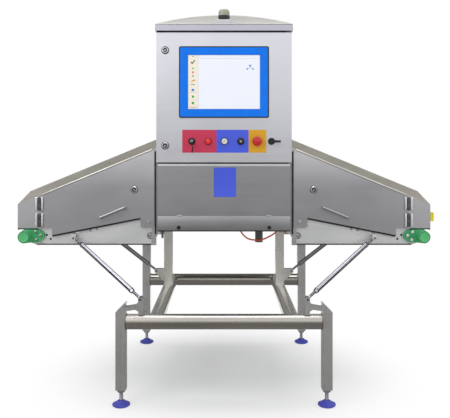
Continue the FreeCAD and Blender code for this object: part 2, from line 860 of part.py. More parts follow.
def beacon_base():
    """The beacon's socket on a wedge that makes up for the roof's slope."""
    near, far = "roof_front + 8", "roof_front + 68"
    side = [(near, roof_line(near)), (far, roof_line(far)), (far, BEACON_SEAT), (near, BEACON_SEAT)]
    wedge = padded("beacon_wedge", "yz", side, ("-beacon_radius - 4", "beacon_radius + 4"))
    profile = [
        ("0", "-1"),
        ("beacon_radius", "-1"),
        ("beacon_radius", "5"),
        ("beacon_radius - 2", "7"),
        ("beacon_radius - 2", "beacon_socket"),
        ("0", "beacon_socket"),
    ]
    socket = turned("beacon_socket_body", profile, ("0", "beacon_y", BEACON_SEAT))
    return fuse("beacon_base_shape", wedge, socket)


def beacon_lens():
    """The beacon's dome."""
    profile = [
        ("0", "0"),
        ("beacon_radius", "0"),
        ("beacon_radius", "beacon_dome * 0.45"),
        ("beacon_radius * 0.9", "beacon_dome * 0.72"),
        ("beacon_radius * 0.6", "beacon_dome * 0.93"),
        ("0", "beacon_dome"),
    ]
    return turned("beacon_lens_shape", profile, ("0", "beacon_y", BEACON_SEAT + " + beacon_socket"))


keep("beacon_base", beacon_base())
keep("beacon_lens", beacon_lens())

# Cabinet door

CONTROLS = ("key_x", "reset_x", "start_x", "stop_x", "estop_x", "lever_x")


def cabinet_door():
    """A folded door pan with the screen's window and holes for its controls, locks and pivots."""
    xs = ("-cabinet_x", "cabinet_x")
    zs = ("door_bottom", "door_top")
    back = "door_front + door_depth"
    body = padded("cabinet_door_shape", "xz", rectangle(xs, zs), ("door_front", back))
    rounded(body, "cabinet_door_corners", "4", [(x, z) for x in xs for z in zs], "y")
    inner = [("%s + sheet" % low, "%s - sheet" % high) for low, high in (xs, zs)]
    pocket_shape(body, "cabinet_door_pan", "xz", rectangle(*inner), ("door_front + sheet", back + " + 1"))
    skin = ("door_front - 1", "door_front + sheet + 1")
    window = rectangle(
        ("-bezel_x + bezel_lap", "bezel_x - bezel_lap"),
        ("screen_z - bezel_z + bezel_lap", "screen_z + bezel_z - bezel_lap"),
    )
    pocket_shape(body, "cabinet_door_window", "xz", window, skin)
    circles = [(x, "controls_z", "barrel_radius + fit") for x in CONTROLS]
    circles += [("lock_x", z, "stem_radius + fit") for z in ("lock_high", "lock_low")]
    pocket_holes(body, "cabinet_door_holes", "xz", circles, skin)
    pivot = [("pivot_x", "pivot_y", "hinge_pin + fit")]
    pocket_holes(body, "cabinet_door_top_bore", "xy", pivot, ("door_top - sheet - 1", "door_top + 1"))
    pocket_holes(body, "cabinet_door_low_bore", "xy", pivot, ("door_bottom - 1", "door_bottom + sheet + 1"))
    return body


def panel_computer():
    """The touch screen's bezel in front of the door, with its housing behind."""
    bezel_xs = ("-bezel_x", "bezel_x")
    bezel_zs = ("screen_z - bezel_z", "screen_z + bezel_z")
    outside = "door_front - bezel_proud"
    front = padded("computer_bezel", "xz", rectangle(bezel_xs, bezel_zs), (outside, "door_front"))
    rounded(front, "computer_bezel_corners", "8", [(x, z) for x in bezel_xs for z in bezel_zs], "y")
    inset = "(bezel_lap + rest_gap)"
    back = hollow_box(
        "computer_housing",
        ("-bezel_x + " + inset, "bezel_x - " + inset),
        ("door_front - 1", "door_front + computer_depth"),
        ("screen_z - bezel_z + " + inset, "screen_z + bezel_z - " + inset),
        "sheet",
    )
    screen_xs = ("-glass_x", "glass_x")
    screen_zs = ("screen_z - glass_z", "screen_z + glass_z")
    recess = box("computer_recess", screen_xs, (outside + " - 1", outside + " + 3"), screen_zs)
    return cut("panel_computer_shape", fuse("computer_weld", front, back), recess)


def screen_glass():
    """The touch glass in the bezel's recess."""
    outside = "door_front - bezel_proud"
    screen_zs = ("screen_z - glass_z", "screen_z + glass_z")
    return box("screen_glass_shape", ("-glass_x", "glass_x"), (outside + " + 1", outside + " + 3"), screen_zs)


keep("cabinet_door", cabinet_door())
keep("panel_computer", panel_computer())
keep("screen_glass", screen_glass())

# Controls; each profile is (radius, height), with heights counted out from the door's skin.


def control_ring(name, x):
    """A control's bezel ring and the threaded barrel that clamps it in the door."""
    profile = [
        ("stem_radius + fit", "-barrel_length"),
        ("barrel_radius", "-barrel_length"),
        ("barrel_radius", "0"),
        ("ring_radius", "0"),
        ("ring_radius", "ring_height - 1.5"),
        ("ring_radius - 1.5", "ring_height"),
        ("stem_radius + fit", "ring_height"),
    ]
    return turned(name, profile, (x, "door_front", "controls_z"), "front")


def push_button(name, x, radius, rise, dome):
    """A button's cap and stem, standing its travel clear of the ring."""
    base = "ring_height + travel + rest_gap"
    profile = [
        ("0", "-barrel_length + 4"),
        ("stem_radius", "-barrel_length + 4"),
        ("stem_radius", base),
        (radius, base),
        (radius, "%s + %s" % (base, rise)),
        ("%s * 0.85" % radius, "%s + %s + %s * 0.6" % (base, rise, dome)),
        ("0", "%s + %s + %s" % (base, rise, dome)),
    ]
    return turned(name, profile, (x, "door_front", "controls_z"), "front")


def plug(name, x, head, low, high):
    """A plug that turns in a control's barrel, with a head from the low to the high height."""
    profile = [
        ("0", "-barrel_length + 4"),
        ("stem_radius", "-barrel_length + 4"),
        ("stem_radius", low),
        (head, low),
        (head, high),
        ("0", high),
    ]
    return turned(name, profile, (x, "door_front", "controls_z"), "front")


def key_switch():
    """A key in its lock: the plug, the blade and a round bow with a hole for a ring."""
    bow_y = "door_front - ring_height - 18"
    half = ("key_x - key_thickness / 2", "key_x + key_thickness / 2")
    lock = plug("key_plug", "key_x", "stem_radius + 3", "ring_height + rest_gap", "ring_height + 3")
    blade_ys = (bow_y, "door_front - ring_height - 2")
    blade = box("key_blade", half, blade_ys, ("controls_z - 4", "controls_z + 4"))
    bow = cylinder("key_bow", "x", (bow_y, "controls_z - 3"), half, "11")
    eye_xs = (half[0] + " - 1", half[1] + " + 1")
    eye = cylinder("key_eye", "x", (bow_y + " - 5", "controls_z - 3"), eye_xs, "2.5")
    return cut("key_switch_shape", fuse("key_weld", lock, blade, bow), eye)


def isolator_lever():
    """The main switch: a hub and a tapered lever that points to the right."""
    hub = plug("lever_hub", "lever_x", "ring_radius - 3", "ring_height + rest_gap", "ring_height + 9")
    outline = [
        ("lever_x", "controls_z - 6"),
        ("lever_x + 26", "controls_z - 4"),
        ("lever_x + 26", "controls_z + 4"),
        ("lever_x", "controls_z + 6"),
    ]
    front = "door_front - ring_height"
    arm = padded("lever_arm", "xz", outline, (front + " - 9", front + " - 3"))
    rounded(arm, "lever_arm_tip", "3", outline[1:3], "y")
    return fuse("isolator_lever_shape", hub, arm)


rings = [control_ring("ring_" + place, place) for place in CONTROLS]
keep("control_rings", group("control_rings_shape", *rings))
keep("reset_button", push_button("reset_button_shape", "reset_x", "cap_radius", "3", "3"))
keep("start_button", push_button("start_button_shape", "start_x", "cap_radius", "3", "1.5"))
keep("stop_button", push_button("stop_button_shape", "stop_x", "cap_radius", "3", "1.5"))
keep("emergency_stop", push_button("emergency_stop_shape", "estop_x", "mushroom_radius", "6", "7"))
keep("key_switch", key_switch())
keep("isolator_lever", isolator_lever())


def quarter_turn_lock(name, x, face, z, wall):
    """A slotted lock through a sheet of a given wall, with its cam turned to the free position."""
    profile = [
        ("0", "-(%s) - 9" % wall),
        ("stem_radius", "-(%s) - 9" % wall),
        ("stem_radius", "rest_gap"),
        ("lock_radius", "rest_gap"),
        ("lock_radius", "5"),
        ("lock_radius - 2", "7"),
        ("0", "7"),
    ]
    barrel = turned(name + "_barrel", profile, (x, face, z), "front")
    cam_ys = (face + " + %s + 4" % wall, face + " + %s + 8" % wall)
    cam = box(name + "_cam", (x + " - 8", x + " + 8"), cam_ys, (z + " - 8", z + " + lock_reach"))
    slot_xs = (x + " - 1.5", x + " + 1.5")
    slot = box(name + "_slot", slot_xs, (face + " - 8", face + " - 4"), (z + " - 9", z + " + 9"))
    return cut(name, fuse(name + "_weld", barrel, cam), slot)


for level, z in (("upper", "lock_high"), ("lower", "lock_low")):
    label = "door_lock_" + level
    keep(label, quarter_turn_lock(label + "_shape", "lock_x", "door_front", z, "sheet"))

# X-ray source and detector


def xray_generator():
    """The source's round tank on its saddle, over the slot in the cabinet's floor."""
    middle = "(belt_front + belt_rear) / 2"
    axis_z = "head_top + sheet + tank_radius + 21"
    tank_xs = ("-tank_length / 2", "tank_length / 2")
    tank = cylinder("generator_tank", "x", (middle, axis_z), tank_xs, "tank_radius")
    saddle_xs = ("-tank_length / 2 + 20", "tank_length / 2 - 20")
    saddle_ys = (middle + " - 75", middle + " + 75")
    saddle = box("generator_saddle", saddle_xs, saddle_ys, ("head_top + sheet", "head_top + sheet + 60"))
    return fuse("xray_generator_shape", tank, saddle)


def line_detector():
    """The line detector's housing, across the duct under the bed."""
    top = "belt_top - belt_wall - belt_gap - bed_wall"
    across = ("duct_front", "duct_rear")
    return box("line_detector_shape", ("-detector_x", "detector_x"), across, (top + " - 36", top))


keep("xray_generator", xray_generator())
keep("line_detector", line_detector())

# Conveyor wings, shaped on the right and mirrored to the left

ROLLER_X = "(wing_out - roller_inset)"
HINGE_X = "(wing_out - hinge_inset)"
EAVE_PITCH = "(eave_in - eave_out) / (wing_out - head_x)"


def eave(x):
    """The eave's height over a place along the wing."""
    return "(eave_in - ((%s) - head_x) * %s)" % (x, EAVE_PITCH)


def gable(body, name, x, wall, low):
    """The hood's cross-section: two walls under a shallow ridge."""
    front = "wing_front + " + wall
    rear = "wing_rear - " + wall
    top = "%s - %s" % (eave(x), wall)
    ridge = ("(wing_front + wing_rear) / 2", top + " + ridge_rise")
    return polygon(body, name, "yz", [(front, low), (rear, low), (rear, top), ridge, (front, top)], x)


def hinge_half(name, low, moving):
    """One half of a block hinge: its leaf, and the knuckle that takes up half of the height."""
    top = low + " + hinge_height"
    middle = low + " + hinge_height / 2"
    axis = (HINGE_X, "hinge_y")
    near, far = "(knuckle_radius + 0.5)", "leaf_width"
    if moving:
        leaf_xs = (HINGE_X + " - " + far, HINGE_X + " - " + near)
        web_xs = (HINGE_X + " - " + far, HINGE_X)
        knuckle = (middle + " + rest_gap", top)
        seat = "flap_front"
    else:
        leaf_xs = (HINGE_X + " + " + near, HINGE_X + " + " + far)
        web_xs = (HINGE_X, HINGE_X + " + " + far)
        knuckle = (low, middle)
        seat = "wing_front"
    leaf = box(name + "_leaf", leaf_xs, ("hinge_y + 0.5", seat), (low, top))
    web = box(name + "_web", web_xs, ("hinge_y + 0.5", "hinge_y + knuckle_radius"), knuckle)
    barrel = cylinder(name + "_barrel", "z", axis, knuckle, "knuckle_radius")
    if moving:
        bore = cylinder(name + "_bore", "z", axis, (low + " - 1", top + " + 1"), "hinge_pin + fit")
        return cut(name, fuse(name + "_solid", leaf, web, barrel), bore)
    pin = cylinder(name + "_pin", "z", axis, (low, top), "hinge_pin")
    return fuse(name, leaf, web, barrel, pin)


def hinge_halves(moving):
    """Both of a wing's hinges, as the halves that move with its door or stay with its hood."""
    kind = "moving" if moving else "fixed"
    levels = (("lower", "hinge_low"), ("upper", "hinge_high"))
    return [hinge_half("%s_hinge_%s" % (kind, level), low, moving) for level, low in levels]


def hanging_clevis(name, x, middle, ys):
    """The two lugs of a stay's upper clevis under a web, and the tool for their pin hole."""
    outline = [
        (x + " - eye_radius", "stay_head_z + 18"),
        (x + " - eye_radius", "stay_head_z - 4"),
        (x + " - 4", "stay_head_z - eye_radius"),
        (x + " + 4", "stay_head_z - eye_radius"),
        (x + " + eye_radius", "stay_head_z - 4"),
        (x + " + eye_radius", "stay_head_z + 18"),
    ]
    web_xs = (x + " - eye_radius", x + " + eye_radius")
    web = box(name + "_web", web_xs, ys, ("stay_head_z + 12", "stay_head_z + 18"))
    bore_ys = (middle + " - 30", middle + " + 30")
    bore = cylinder(name + "_bore", "y", (x, "stay_head_z"), bore_ys, "pin_radius + fit")
    return cut(name, fuse(name + "_weld", web, *lug_pair(name + "_lug", outline, middle)), bore)


def rear_bearing():
    """The round flange bearing on the back of a hood."""
    profile = [
        ("shaft_radius + fit", "0"),
        ("38", "0"),
        ("38", "10"),
        ("26", "14"),
        ("26", "shaft_tail + 8"),
        ("0", "shaft_tail + 8"),
        ("0", "shaft_tail + 2"),
        ("shaft_radius + fit", "shaft_tail + 2"),
    ]
    return turned("rear_bearing", profile, (ROLLER_X, "wing_rear", "roller_z"), "y")


def wing_hood():
    """The guard over half of the conveyor, with its openings, fixed hinges and rear fittings."""
    body = doc.addObject("PartDesign::Body", "wing_hood_sheet")
    inner_end = gable(body, "hood_inner_end", "head_x", "0", "wing_bottom")
    outer_end = gable(body, "hood_outer_end", "wing_out", "0", "wing_bottom")
    lofted("hood_skin", "AdditiveLoft", body, inner_end, outer_end)
    hollow_in = gable(body, "hood_hollow_in", "head_x", "sheet", "wing_bottom - 5")
    hollow_out = gable(body, "hood_hollow_out", "wing_out - sheet", "sheet", "wing_bottom - 5")
    lofted("hood_hollow", "SubtractiveLoft", body, hollow_in, hollow_out)
    mouth = [
        ("wing_front - 1", "wing_bottom - 1"),
        ("wing_rear - jamb", "wing_bottom - 1"),
        ("wing_rear - jamb", "mouth_top"),
        ("wing_front + jamb", "mouth_top"),
        ("wing_front + jamb", "mouth_sill"),
        ("wing_front - 1", "mouth_sill"),
    ]
    pocket_shape(body, "hood_mouth", "yz", mouth, ("wing_out - sheet - 1", "wing_out + 1"))
    inner, outer = "flap_in + 11", HINGE_X + " - 5"
    opening = [
        (inner, "wing_bottom - 5"),
        ("wing_out + 5", "wing_bottom - 5"),
        ("wing_out + 5", "hood_sill"),
        (outer, "hood_sill"),
        (outer, eave(outer) + " - 12"),
        (inner, eave(inner) + " - 12"),
    ]
    pocket_shape(body, "hood_side_opening", "xz", opening, ("wing_front - 1", "wing_front + sheet + 1"))
    holes = [(ROLLER_X, "roller_z", "shaft_radius + 4"), ("snub_x", "snub_z", "stem_radius + fit")]
    pocket_holes(body, "hood_shaft_holes", "xz", holes, ("wing_rear - sheet - 1", "wing_rear + 1"))
    rear_ys = ("wing_rear - 1", "wing_rear + stay_offset + lug_gap / 2 + lug_wall")
    clevis = hanging_clevis("rear_clevis", "rear_stay_head_x", "(wing_rear + stay_offset)", rear_ys)
    return fuse("wing_hood_shape", body, rear_bearing(), clevis, *hinge_halves(False))


def side_plate():
    """The conveyor's front side plate, with its shaft holes and the front stay's clevis."""
    points = [
        (ROLLER_X + " - 45", "wing_bottom"),
        ("snub_x - 2", "wing_bottom"),
        ("head_x + 2", "snub_z + 3"),
        ("head_x - 10", "head_bottom + duct_floor + 2"),
        ("inner_x + snub_radius + 1", "head_bottom + duct_floor + 2"),
        ("inner_x + snub_radius + 1", "belt_top - 14"),
        ("crest_x", "belt_top - 8"),
        (ROLLER_X, "roller_z + roller_radius - 2"),
        (ROLLER_X + " + 22", "roller_z + 18"),
        (ROLLER_X + " + 22", "roller_z - 14"),
    ]
    back = "plate_front + plate_wall"
    body = padded("side_plate_sheet", "xz", points, ("plate_front", back))
    holes = [(ROLLER_X, "roller_z", "shaft_radius + 4"), ("snub_x", "snub_z", "stem_radius + fit")]
    pocket_holes(body, "side_plate_holes", "xz", holes, ("plate_front - 1", back + " + 1"))
    front_ys = ("plate_front - stay_offset - lug_gap / 2 - lug_wall", "plate_front + 1")
    clevis = hanging_clevis("front_clevis", "stay_head_x", "(plate_front - stay_offset)", front_ys)
    return fuse("side_plate_shape", body, clevis)


def handle():
    """A bent round bar on two posts."""
    face = "flap_front + 1"
    stand = "flap_front - handle_stand"
    ends = (("handle_out_x", "handle_out_z"), ("handle_in_x", "handle_in_z"))
    pieces = [rod("handle_bar", *[(x, stand, z) for x, z in ends], "handle_radius")]
    for index, (x, z) in enumerate(ends):
        pieces.append(cylinder("handle_post_%d" % index, "y", (x, z), (stand, face), "handle_radius"))
        bend = doc.addObject("Part::Sphere", "handle_bend_%d" % index)
        tie(bend, "Radius", "handle_radius")
        pieces.append(put(bend, (x, stand, z)))
    return pieces


def access_door():
    """The hinged side guard: its panel with a lower tab, its bar handle and its halves of the hinges."""
    edge = HINGE_X + " - knuckle_radius - 1"
    tab_x = "flap_sill_in_x - 3"
    step_x = "wing_out - flap_step_inset"
    points = [
        ("flap_in", "tab_bottom"),
        (tab_x, "tab_bottom"),
        (tab_x, "flap_sill_in"),
        ("flap_sill_in_x", "flap_sill_in"),
        (step_x, "flap_sill_out"),
        (step_x, "flap_step"),
        (edge, "flap_step"),
        (edge, eave(edge)),
        ("flap_in", eave("flap_in")),
    ]
    back = "flap_front + flap_depth"
    body = padded("access_door_panel", "xz", points, ("flap_front", back))
    rounded(body, "access_door_corners", "9", [points[0], points[1], points[8]], "y")
    holes = [("latch_x", "latch_z", "stem_radius + fit")]
    pocket_holes(body, "access_door_holes", "xz", holes, ("flap_front - 1", back + " + 1"))
    boss_ys = ("flap_front - 4", "flap_front + 1")
    boss = cylinder("tab_boss", "y", ("flap_in + 25", "tab_bottom + 26"), boss_ys, "9")
    return fuse("access_door_shape", body, boss, *handle(), *hinge_halves(True))


for label, item in (("wing_hood", wing_hood()), ("side_plate", side_plate()), ("access_door", access_door())):
    keep(label + "_right", item)
    keep(label + "_left", mirrored(label + "_left_shape", item))
for sign, side in SIDES:
    label = "door_latch_" + side
    x = "%d * latch_x" % sign
    keep(label, quarter_turn_lock(label + "_shape", x, "flap_front", "latch_z", "flap_depth"))

# Rollers and bearings


def roller(name, x, z, radius, shaft, ys, nose):
    """A roller drum on its shaft, whose front end has a nose of its own radius."""
    front, rear = ys
    low = "(belt_front - 3) - (%s)" % front
    high = "(belt_rear + 3) - (%s)" % front
    length = "(%s) - (%s)" % (rear, front)
    profile = [
        ("0", "0"),
        (nose, "0"),
        (nose, "4"),
        (shaft, "4"),
        (shaft, low),
        (radius + " - 3", low),
        (radius, low + " + 3"),
        (radius, high + " - 3"),
        (radius + " - 3", high),
        (shaft, high),
        (shaft, length),
        ("0", length),
    ]
    return turned(name, profile, (x, front, z), "y")


def flange_bearing():
    """A moulded flange bearing with a long round end cap, three bolt caps and a blind bore."""
    profile = [
        ("0", "0"),
        ("29", "0"),
        ("29", "14"),
        ("26", "17"),
        ("26", "cap_length - 4"),
        ("22", "cap_length"),
        ("0", "cap_length"),
    ]
    face = "plate_front"
    cap = turned("bearing_cap", profile, (ROLLER_X, face, "roller_z"), "front")
    outline = [
        (ROLLER_X, "roller_z - 29"),
        (ROLLER_X, "roller_z + 29"),
        (ROLLER_X + " - 46", "roller_z + 29"),
        (ROLLER_X + " - 60", "roller_z + 27"),
        (ROLLER_X + " - 77", "roller_z + 14"),
        (ROLLER_X + " - 78", "roller_z - 3"),
        (ROLLER_X + " - 58", "roller_z - 25"),
    ]
    flange = padded("bearing_flange", "xz", outline, (face + " - 14", face))
    rounded(flange, "bearing_flange_corners", "8", outline[2:], "y")
    bolts = []
    for index, (dx, dz) in enumerate((("42", "20"), ("63", "5"), ("45", "-14"))):
        spot = (ROLLER_X + " - " + dx, "roller_z + " + dz)
        bolts.append(cylinder("bearing_bolt_%d" % index, "y", spot, (face + " - 19", face + " - 1"), "7"))
    bore_ys = (face + " - shaft_nose - 2", face + " + 1")
    bore = cylinder("bearing_bore", "y", (ROLLER_X, "roller_z"), bore_ys, "shaft_radius + fit")
    return cut("front_bearing_shape", fuse("bearing_solid", cap, flange, *bolts), bore)


def skid_bars():
    """The two fixed bars that hold the returning belt up inside the duct."""
    ends = ("duct_front", "duct_rear")
    places = [(side, ("%d * inner_x" % sign, "inner_z")) for sign, side in SIDES]
    bars = [cylinder("skid_bar_" + side, "y", place, ends, "snub_radius") for side, place in places]
    return group("return_skid_bars_shape", *bars)


shaft_ys = ("plate_front - shaft_nose", "wing_rear + shaft_tail")
for label, x in (("idler_roller_left", "-" + ROLLER_X), ("drum_motor_right", ROLLER_X)):
    drum = roller(
        label + "_shape", x, "roller_z", "roller_radius", "shaft_radius", shaft_ys, "shaft_radius - 1"
    )
    keep(label, drum)
snub_ys = ("plate_front - 4 - rest_gap", "wing_rear + 6")
for sign, side in SIDES:
    x = "%d * snub_x" % sign
    label = "snub_roller_" + side
    keep(label, roller(label + "_shape", x, "snub_z", "snub_radius", "stem_radius", snub_ys, "12"))
right_bearing = flange_bearing()
keep("front_bearing_right", right_bearing)
keep("front_bearing_left", mirrored("front_bearing_left_shape", right_bearing))
keep("return_skid_bars", skid_bars())

# Belt and bed


def on_circle(circle, normal):
    """The point of a circle that lies along a unit normal from its centre."""
    x, z, radius = circle
    return FreeCAD.Vector(x + radius * normal[0], 0, z + radius * normal[1])


def run_normal(first, second):
    """The unit normal of the straight run that touches two circles on its right-hand side."""
    run_x, run_z = second[0] - first[0], second[1] - first[1]
    length = math.hypot(run_x, run_z)
    lean = (first[2] - second[2]) / length
    rise = math.sqrt(1 - lean * lean)
    along_x, along_z = run_x / length, run_z / length
    return (lean * along_x - rise * along_z, lean * along_z + rise * along_x)


def round_edge(circle, before, after):
    """The arc of a circle between two normals."""
    bisector = (before[0] + after[0], before[1] + after[1])
    size = math.hypot(*bisector)
    middle = on_circle(circle, (bisector[0] / size, bisector[1] / size))
    return Part.Arc(on_circle(circle, before), middle, on_circle(circle, after)).toShape()


def belt_circles(skin):
    """The circles under one surface of the belt, clockwise from the left roller."""
    end = number("roller_radius + belt_gap") + skin
    crest = number("crest_radius") + skin
    snub = number("snub_radius + belt_gap") + skin
    skid = skin - number("snub_radius + belt_gap + belt_wall")
    over = [
        (-number(ROLLER_X), number("roller_z"), end),
        (-number("crest_x"), number("belt_top - belt_wall - crest_radius"), crest),
    ]
    under = [
        (-number("snub_x"), number("snub_z"), snub),
        (-number("inner_x"), number("inner_z"), skid),
    ]
    return over + [(-x, z, radius) for x, z, radius in reversed(over)] + [
        (-x, z, radius) for x, z, radius in under
    ] + list(reversed(under))


def loop_edges(circles):
    """The edges of a closed band round circles; one of negative radius is passed on its outside."""
    pairs = list(zip(circles, circles[1:] + circles[:1]))
    normals = [run_normal(first, second) for first, second in pairs]
    edges = []
    for index, (first, second) in enumerate(pairs):
        normal = normals[index]
        edges.append(Part.LineSegment(on_circle(first, normal), on_circle(second, normal)).toShape())
        edges.append(round_edge(second, normal, normals[(index + 1) % len(normals)]))
    return edges


def extruded(edges, front, rear):
    """The flat face inside an outline, drawn out between two depths."""
    face = Part.Face(Part.Wire(Part.__sortEdges__(edges)))
    face.translate(FreeCAD.Vector(0, front, 0))
    return face.extrude(FreeCAD.Vector(0, rear - front, 0))


def conveyor_belt():
    """The endless belt over both rollers and the bed, and back past the snub rollers and skid bars."""
    front, rear = number("belt_front"), number("belt_rear")
    outside = extruded(loop_edges(belt_circles(number("belt_wall"))), front, rear)
    inside = extruded(loop_edges(belt_circles(0.0)), front - 1, rear + 1)
    item = doc.addObject("Part::Feature", "conveyor_belt_shape")
    item.Shape = outside.cut(inside).Solids[0]
    return item


def slider_bed():
    """The folded plate that the belt slides on, from near one roller to near the other."""
    end_gap = number("roller_radius") * 0.9
    surfaces = []
    for drop in (number("belt_gap"), number("belt_gap + bed_wall")):
        circles = [(x, z, radius - drop) for x, z, radius in belt_circles(0.0)[:4]]
        normals = [run_normal(first, second) for first, second in zip(circles, circles[1:])]
        start = on_circle(circles[0], normals[0])
        end = on_circle(circles[3], normals[2])
        bends = [on_circle(circles[1], normals[0]), on_circle(circles[1], normals[1])]
        bends += [on_circle(circles[2], normals[1]), on_circle(circles[2], normals[2])]
        start += (bends[0] - start).normalize() * end_gap
        end += (bends[3] - end).normalize() * end_gap
        edges = [Part.LineSegment(start, bends[0]).toShape(), round_edge(circles[1], normals[0], normals[1])]
        edges.append(Part.LineSegment(bends[1], bends[2]).toShape())
        edges.append(round_edge(circles[2], normals[1], normals[2]))
        edges.append(Part.LineSegment(bends[3], end).toShape())
        surfaces.append((start, end, edges))
    (top_start, top_end, top), (low_start, low_end, low) = surfaces
    ends = [Part.LineSegment(top_start, low_start).toShape(), Part.LineSegment(top_end, low_end).toShape()]
    item = doc.addObject("Part::Feature", "slider_bed_shape")
    item.Shape = extruded(top + low + ends, number("plate_front + plate_wall"), number("duct_rear"))
    return item


keep("conveyor_belt", conveyor_belt())
keep("slider_bed", slider_bed())

# Sensor, cable and glands


def photo_sensor():
    """The product sensor on the end wall beside the tunnel's mouth."""
    zs = ("mouth_sill + 38", "mouth_sill + 74")
    body = box("photo_sensor_case", ("wing_out", "wing_out + 16"), ("wing_front + 5", "wing_front + 29"), zs)
    boss_place = ("(wing_front + 17)", "mouth_sill + 56")
    boss = cylinder("photo_sensor_eye", "x", boss_place, ("wing_out + 15", "wing_out + 19"), "7")
    return fuse("photo_sensor_shape", body, boss)


CABLE_ROUTE = (
    (74.0, 661.0),
    (74.0, 641.0),
    (87.0, 621.0),
    (114.0, 598.0),
    (173.0, 595.0),
    (219.0, 618.0),
    (240.0, 633.0),
    (248.5, 648.0),
    (248.5, 661.0),
)


def cable(name, route):
    """A cable of straight runs joined by tangent arcs, each as large as its two runs allow."""
    points = [FreeCAD.Vector(x, 0, z) for x, z in route]
    start = points[0]
    edges = []
    radii = []
    for before, corner, after in zip(points, points[1:], points[2:]):
        back, ahead = before - corner, after - corner
        reach = 0.45 * min(back.Length, ahead.Length)
        back.normalize()
        ahead.normalize()
        half_turn = (math.pi - back.getAngle(ahead)) / 2
        radius = reach / math.tan(half_turn)
        radii.append(round(radius, 1))
        inward = (back + ahead).normalize()
        first, last = corner + back * reach, corner + ahead * reach
        middle = corner + inward * (radius / math.cos(half_turn) - radius)
        edges.append(Part.LineSegment(start, first).toShape())
        edges.append(Part.Arc(first, middle, last).toShape())
        start = last
    edges.append(Part.LineSegment(start, points[-1]).toShape())
    path = Part.Wire(edges)
    along = (points[1] - points[0]).normalize()
    section = Part.Wire(Part.Circle(points[0], along, number("cable_radius")).toShape())
    item = doc.addObject("Part::Feature", name)
    item.Shape = path.makePipeShell([section], True, True)
    expected = math.pi * number("cable_radius") ** 2 * path.Length
    print(name, "radii", radii, "volume ratio", round(item.Shape.Volume / expected, 4))
    return item


def cable_glands():
    """The large connector, the two glands of the cable loop and the small one at the left."""
    low = "head_bottom - gland_drop"
    profile = [("0", "0"), ("20", "0"), ("20", "-34"), ("18", "-36"), ("18", "-87"), ("0", "-87")]
    pieces = [turned("large_connector", profile, ("164", "60", "head_bottom"))]
    for index, x in enumerate((CABLE_ROUTE[0][0], CABLE_ROUTE[-1][0])):
        place = (str(x), "0")
        pieces.append(cylinder("loop_gland_%d" % index, "z", place, (low, "head_bottom"), "cable_radius + 4"))
    left_place = ("-264", "head_front + 9")
    pieces.append(cylinder("left_gland", "z", left_place, ("head_bottom - 34", "head_bottom"), "5"))
    return group("cable_glands_shape", *pieces)


keep("photo_sensor", photo_sensor())
keep("orange_cable", cable("orange_cable_shape", CABLE_ROUTE))
keep("cable_glands", cable_glands())




def check_and_write():
    """Stop on any failed object, then write each sub-part's file."""
    doc.recompute()
    faults = [item.Label for item in doc.Objects if {"Invalid", "Error"} & set(item.State)]
    for pocket in sockets:
        before = pocket.BaseFeature.Shape.Volume
        if pocket.Shape.Volume > before - 0.5:
            faults.append(pocket.Label + " removes nothing")
    for label, item in nodes.items():
        shape = item.Shape
        if shape.isNull() or not shape.isValid() or not shape.Solids:
            faults.append(label + " has no valid solid")
    if faults:
        raise RuntimeError("faults: " + ", ".join(faults))
    os.makedirs("parts", exist_ok=True)
    for label, item in nodes.items():
        item.Shape.exportStep(os.path.join("parts", label + ".step"))
    print(len(nodes), "sub-parts written")


check_and_write()
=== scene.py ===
"""Looks of an x-ray inspection machine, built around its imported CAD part.

Lengths are in metres. The machine stands on z = 0 and its operator stands on the -Y side.
"""

import logging
import math
from contextlib import contextmanager
from dataclasses import dataclass
from enum import Enum
from typing import Callable, Iterator, Optional, Sequence

import bmesh
import bpy
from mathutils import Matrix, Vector


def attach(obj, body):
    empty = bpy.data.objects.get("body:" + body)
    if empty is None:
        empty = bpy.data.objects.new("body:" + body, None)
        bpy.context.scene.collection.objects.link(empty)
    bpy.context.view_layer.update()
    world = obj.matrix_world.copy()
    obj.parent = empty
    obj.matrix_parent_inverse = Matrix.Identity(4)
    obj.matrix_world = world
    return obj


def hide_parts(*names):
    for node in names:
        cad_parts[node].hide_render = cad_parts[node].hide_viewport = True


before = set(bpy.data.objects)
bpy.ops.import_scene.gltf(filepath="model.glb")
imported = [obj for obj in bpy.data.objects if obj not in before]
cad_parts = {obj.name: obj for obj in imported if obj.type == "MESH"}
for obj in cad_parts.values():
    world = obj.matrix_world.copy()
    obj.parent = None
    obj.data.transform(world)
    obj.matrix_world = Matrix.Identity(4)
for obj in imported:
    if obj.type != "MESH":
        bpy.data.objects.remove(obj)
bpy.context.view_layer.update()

Point = Sequence[float]
Colour = tuple[float, float, float]
FIXED = "stand_and_head"
DOOR = "cabinet_door"
LOG = logging.getLogger("inspection_machine")

# The part of a normal along an axis from which a face counts as facing that way
FACING = 0.9


class Axis(Enum):
    """The direction that a round piece points in, with the turn that gives it."""

    X = (0.0, math.pi / 2, 0.0)
    Y = (math.pi / 2, 0.0, 0.0)
    Z = (0.0, 0.0, 0.0)


class Grain(Enum):
    """The direction of a sheet's brushing, as the pattern's stretch along x, y and z."""

    ACROSS = (2.2, 420.0, 420.0)
    UPRIGHT = (420.0, 420.0, 2.2)
    DEEP = (420.0, 2.2, 420.0)


class Side(Enum):
    """The two wings of the conveyor, as the sign of x."""

    LEFT = -1
    RIGHT = 1

    @property
    def word(self) -> str:
        """Return the side's word in the names of nodes."""
        return self.name.lower()


# Modelling by hand


def deselect() -> None:
    """Leave edit mode and deselect every object."""
    active = bpy.context.view_layer.objects.active
    if active is not None and active.mode != "OBJECT":
        bpy.ops.object.mode_set(mode="OBJECT")
    bpy.ops.object.select_all(action="DESELECT")


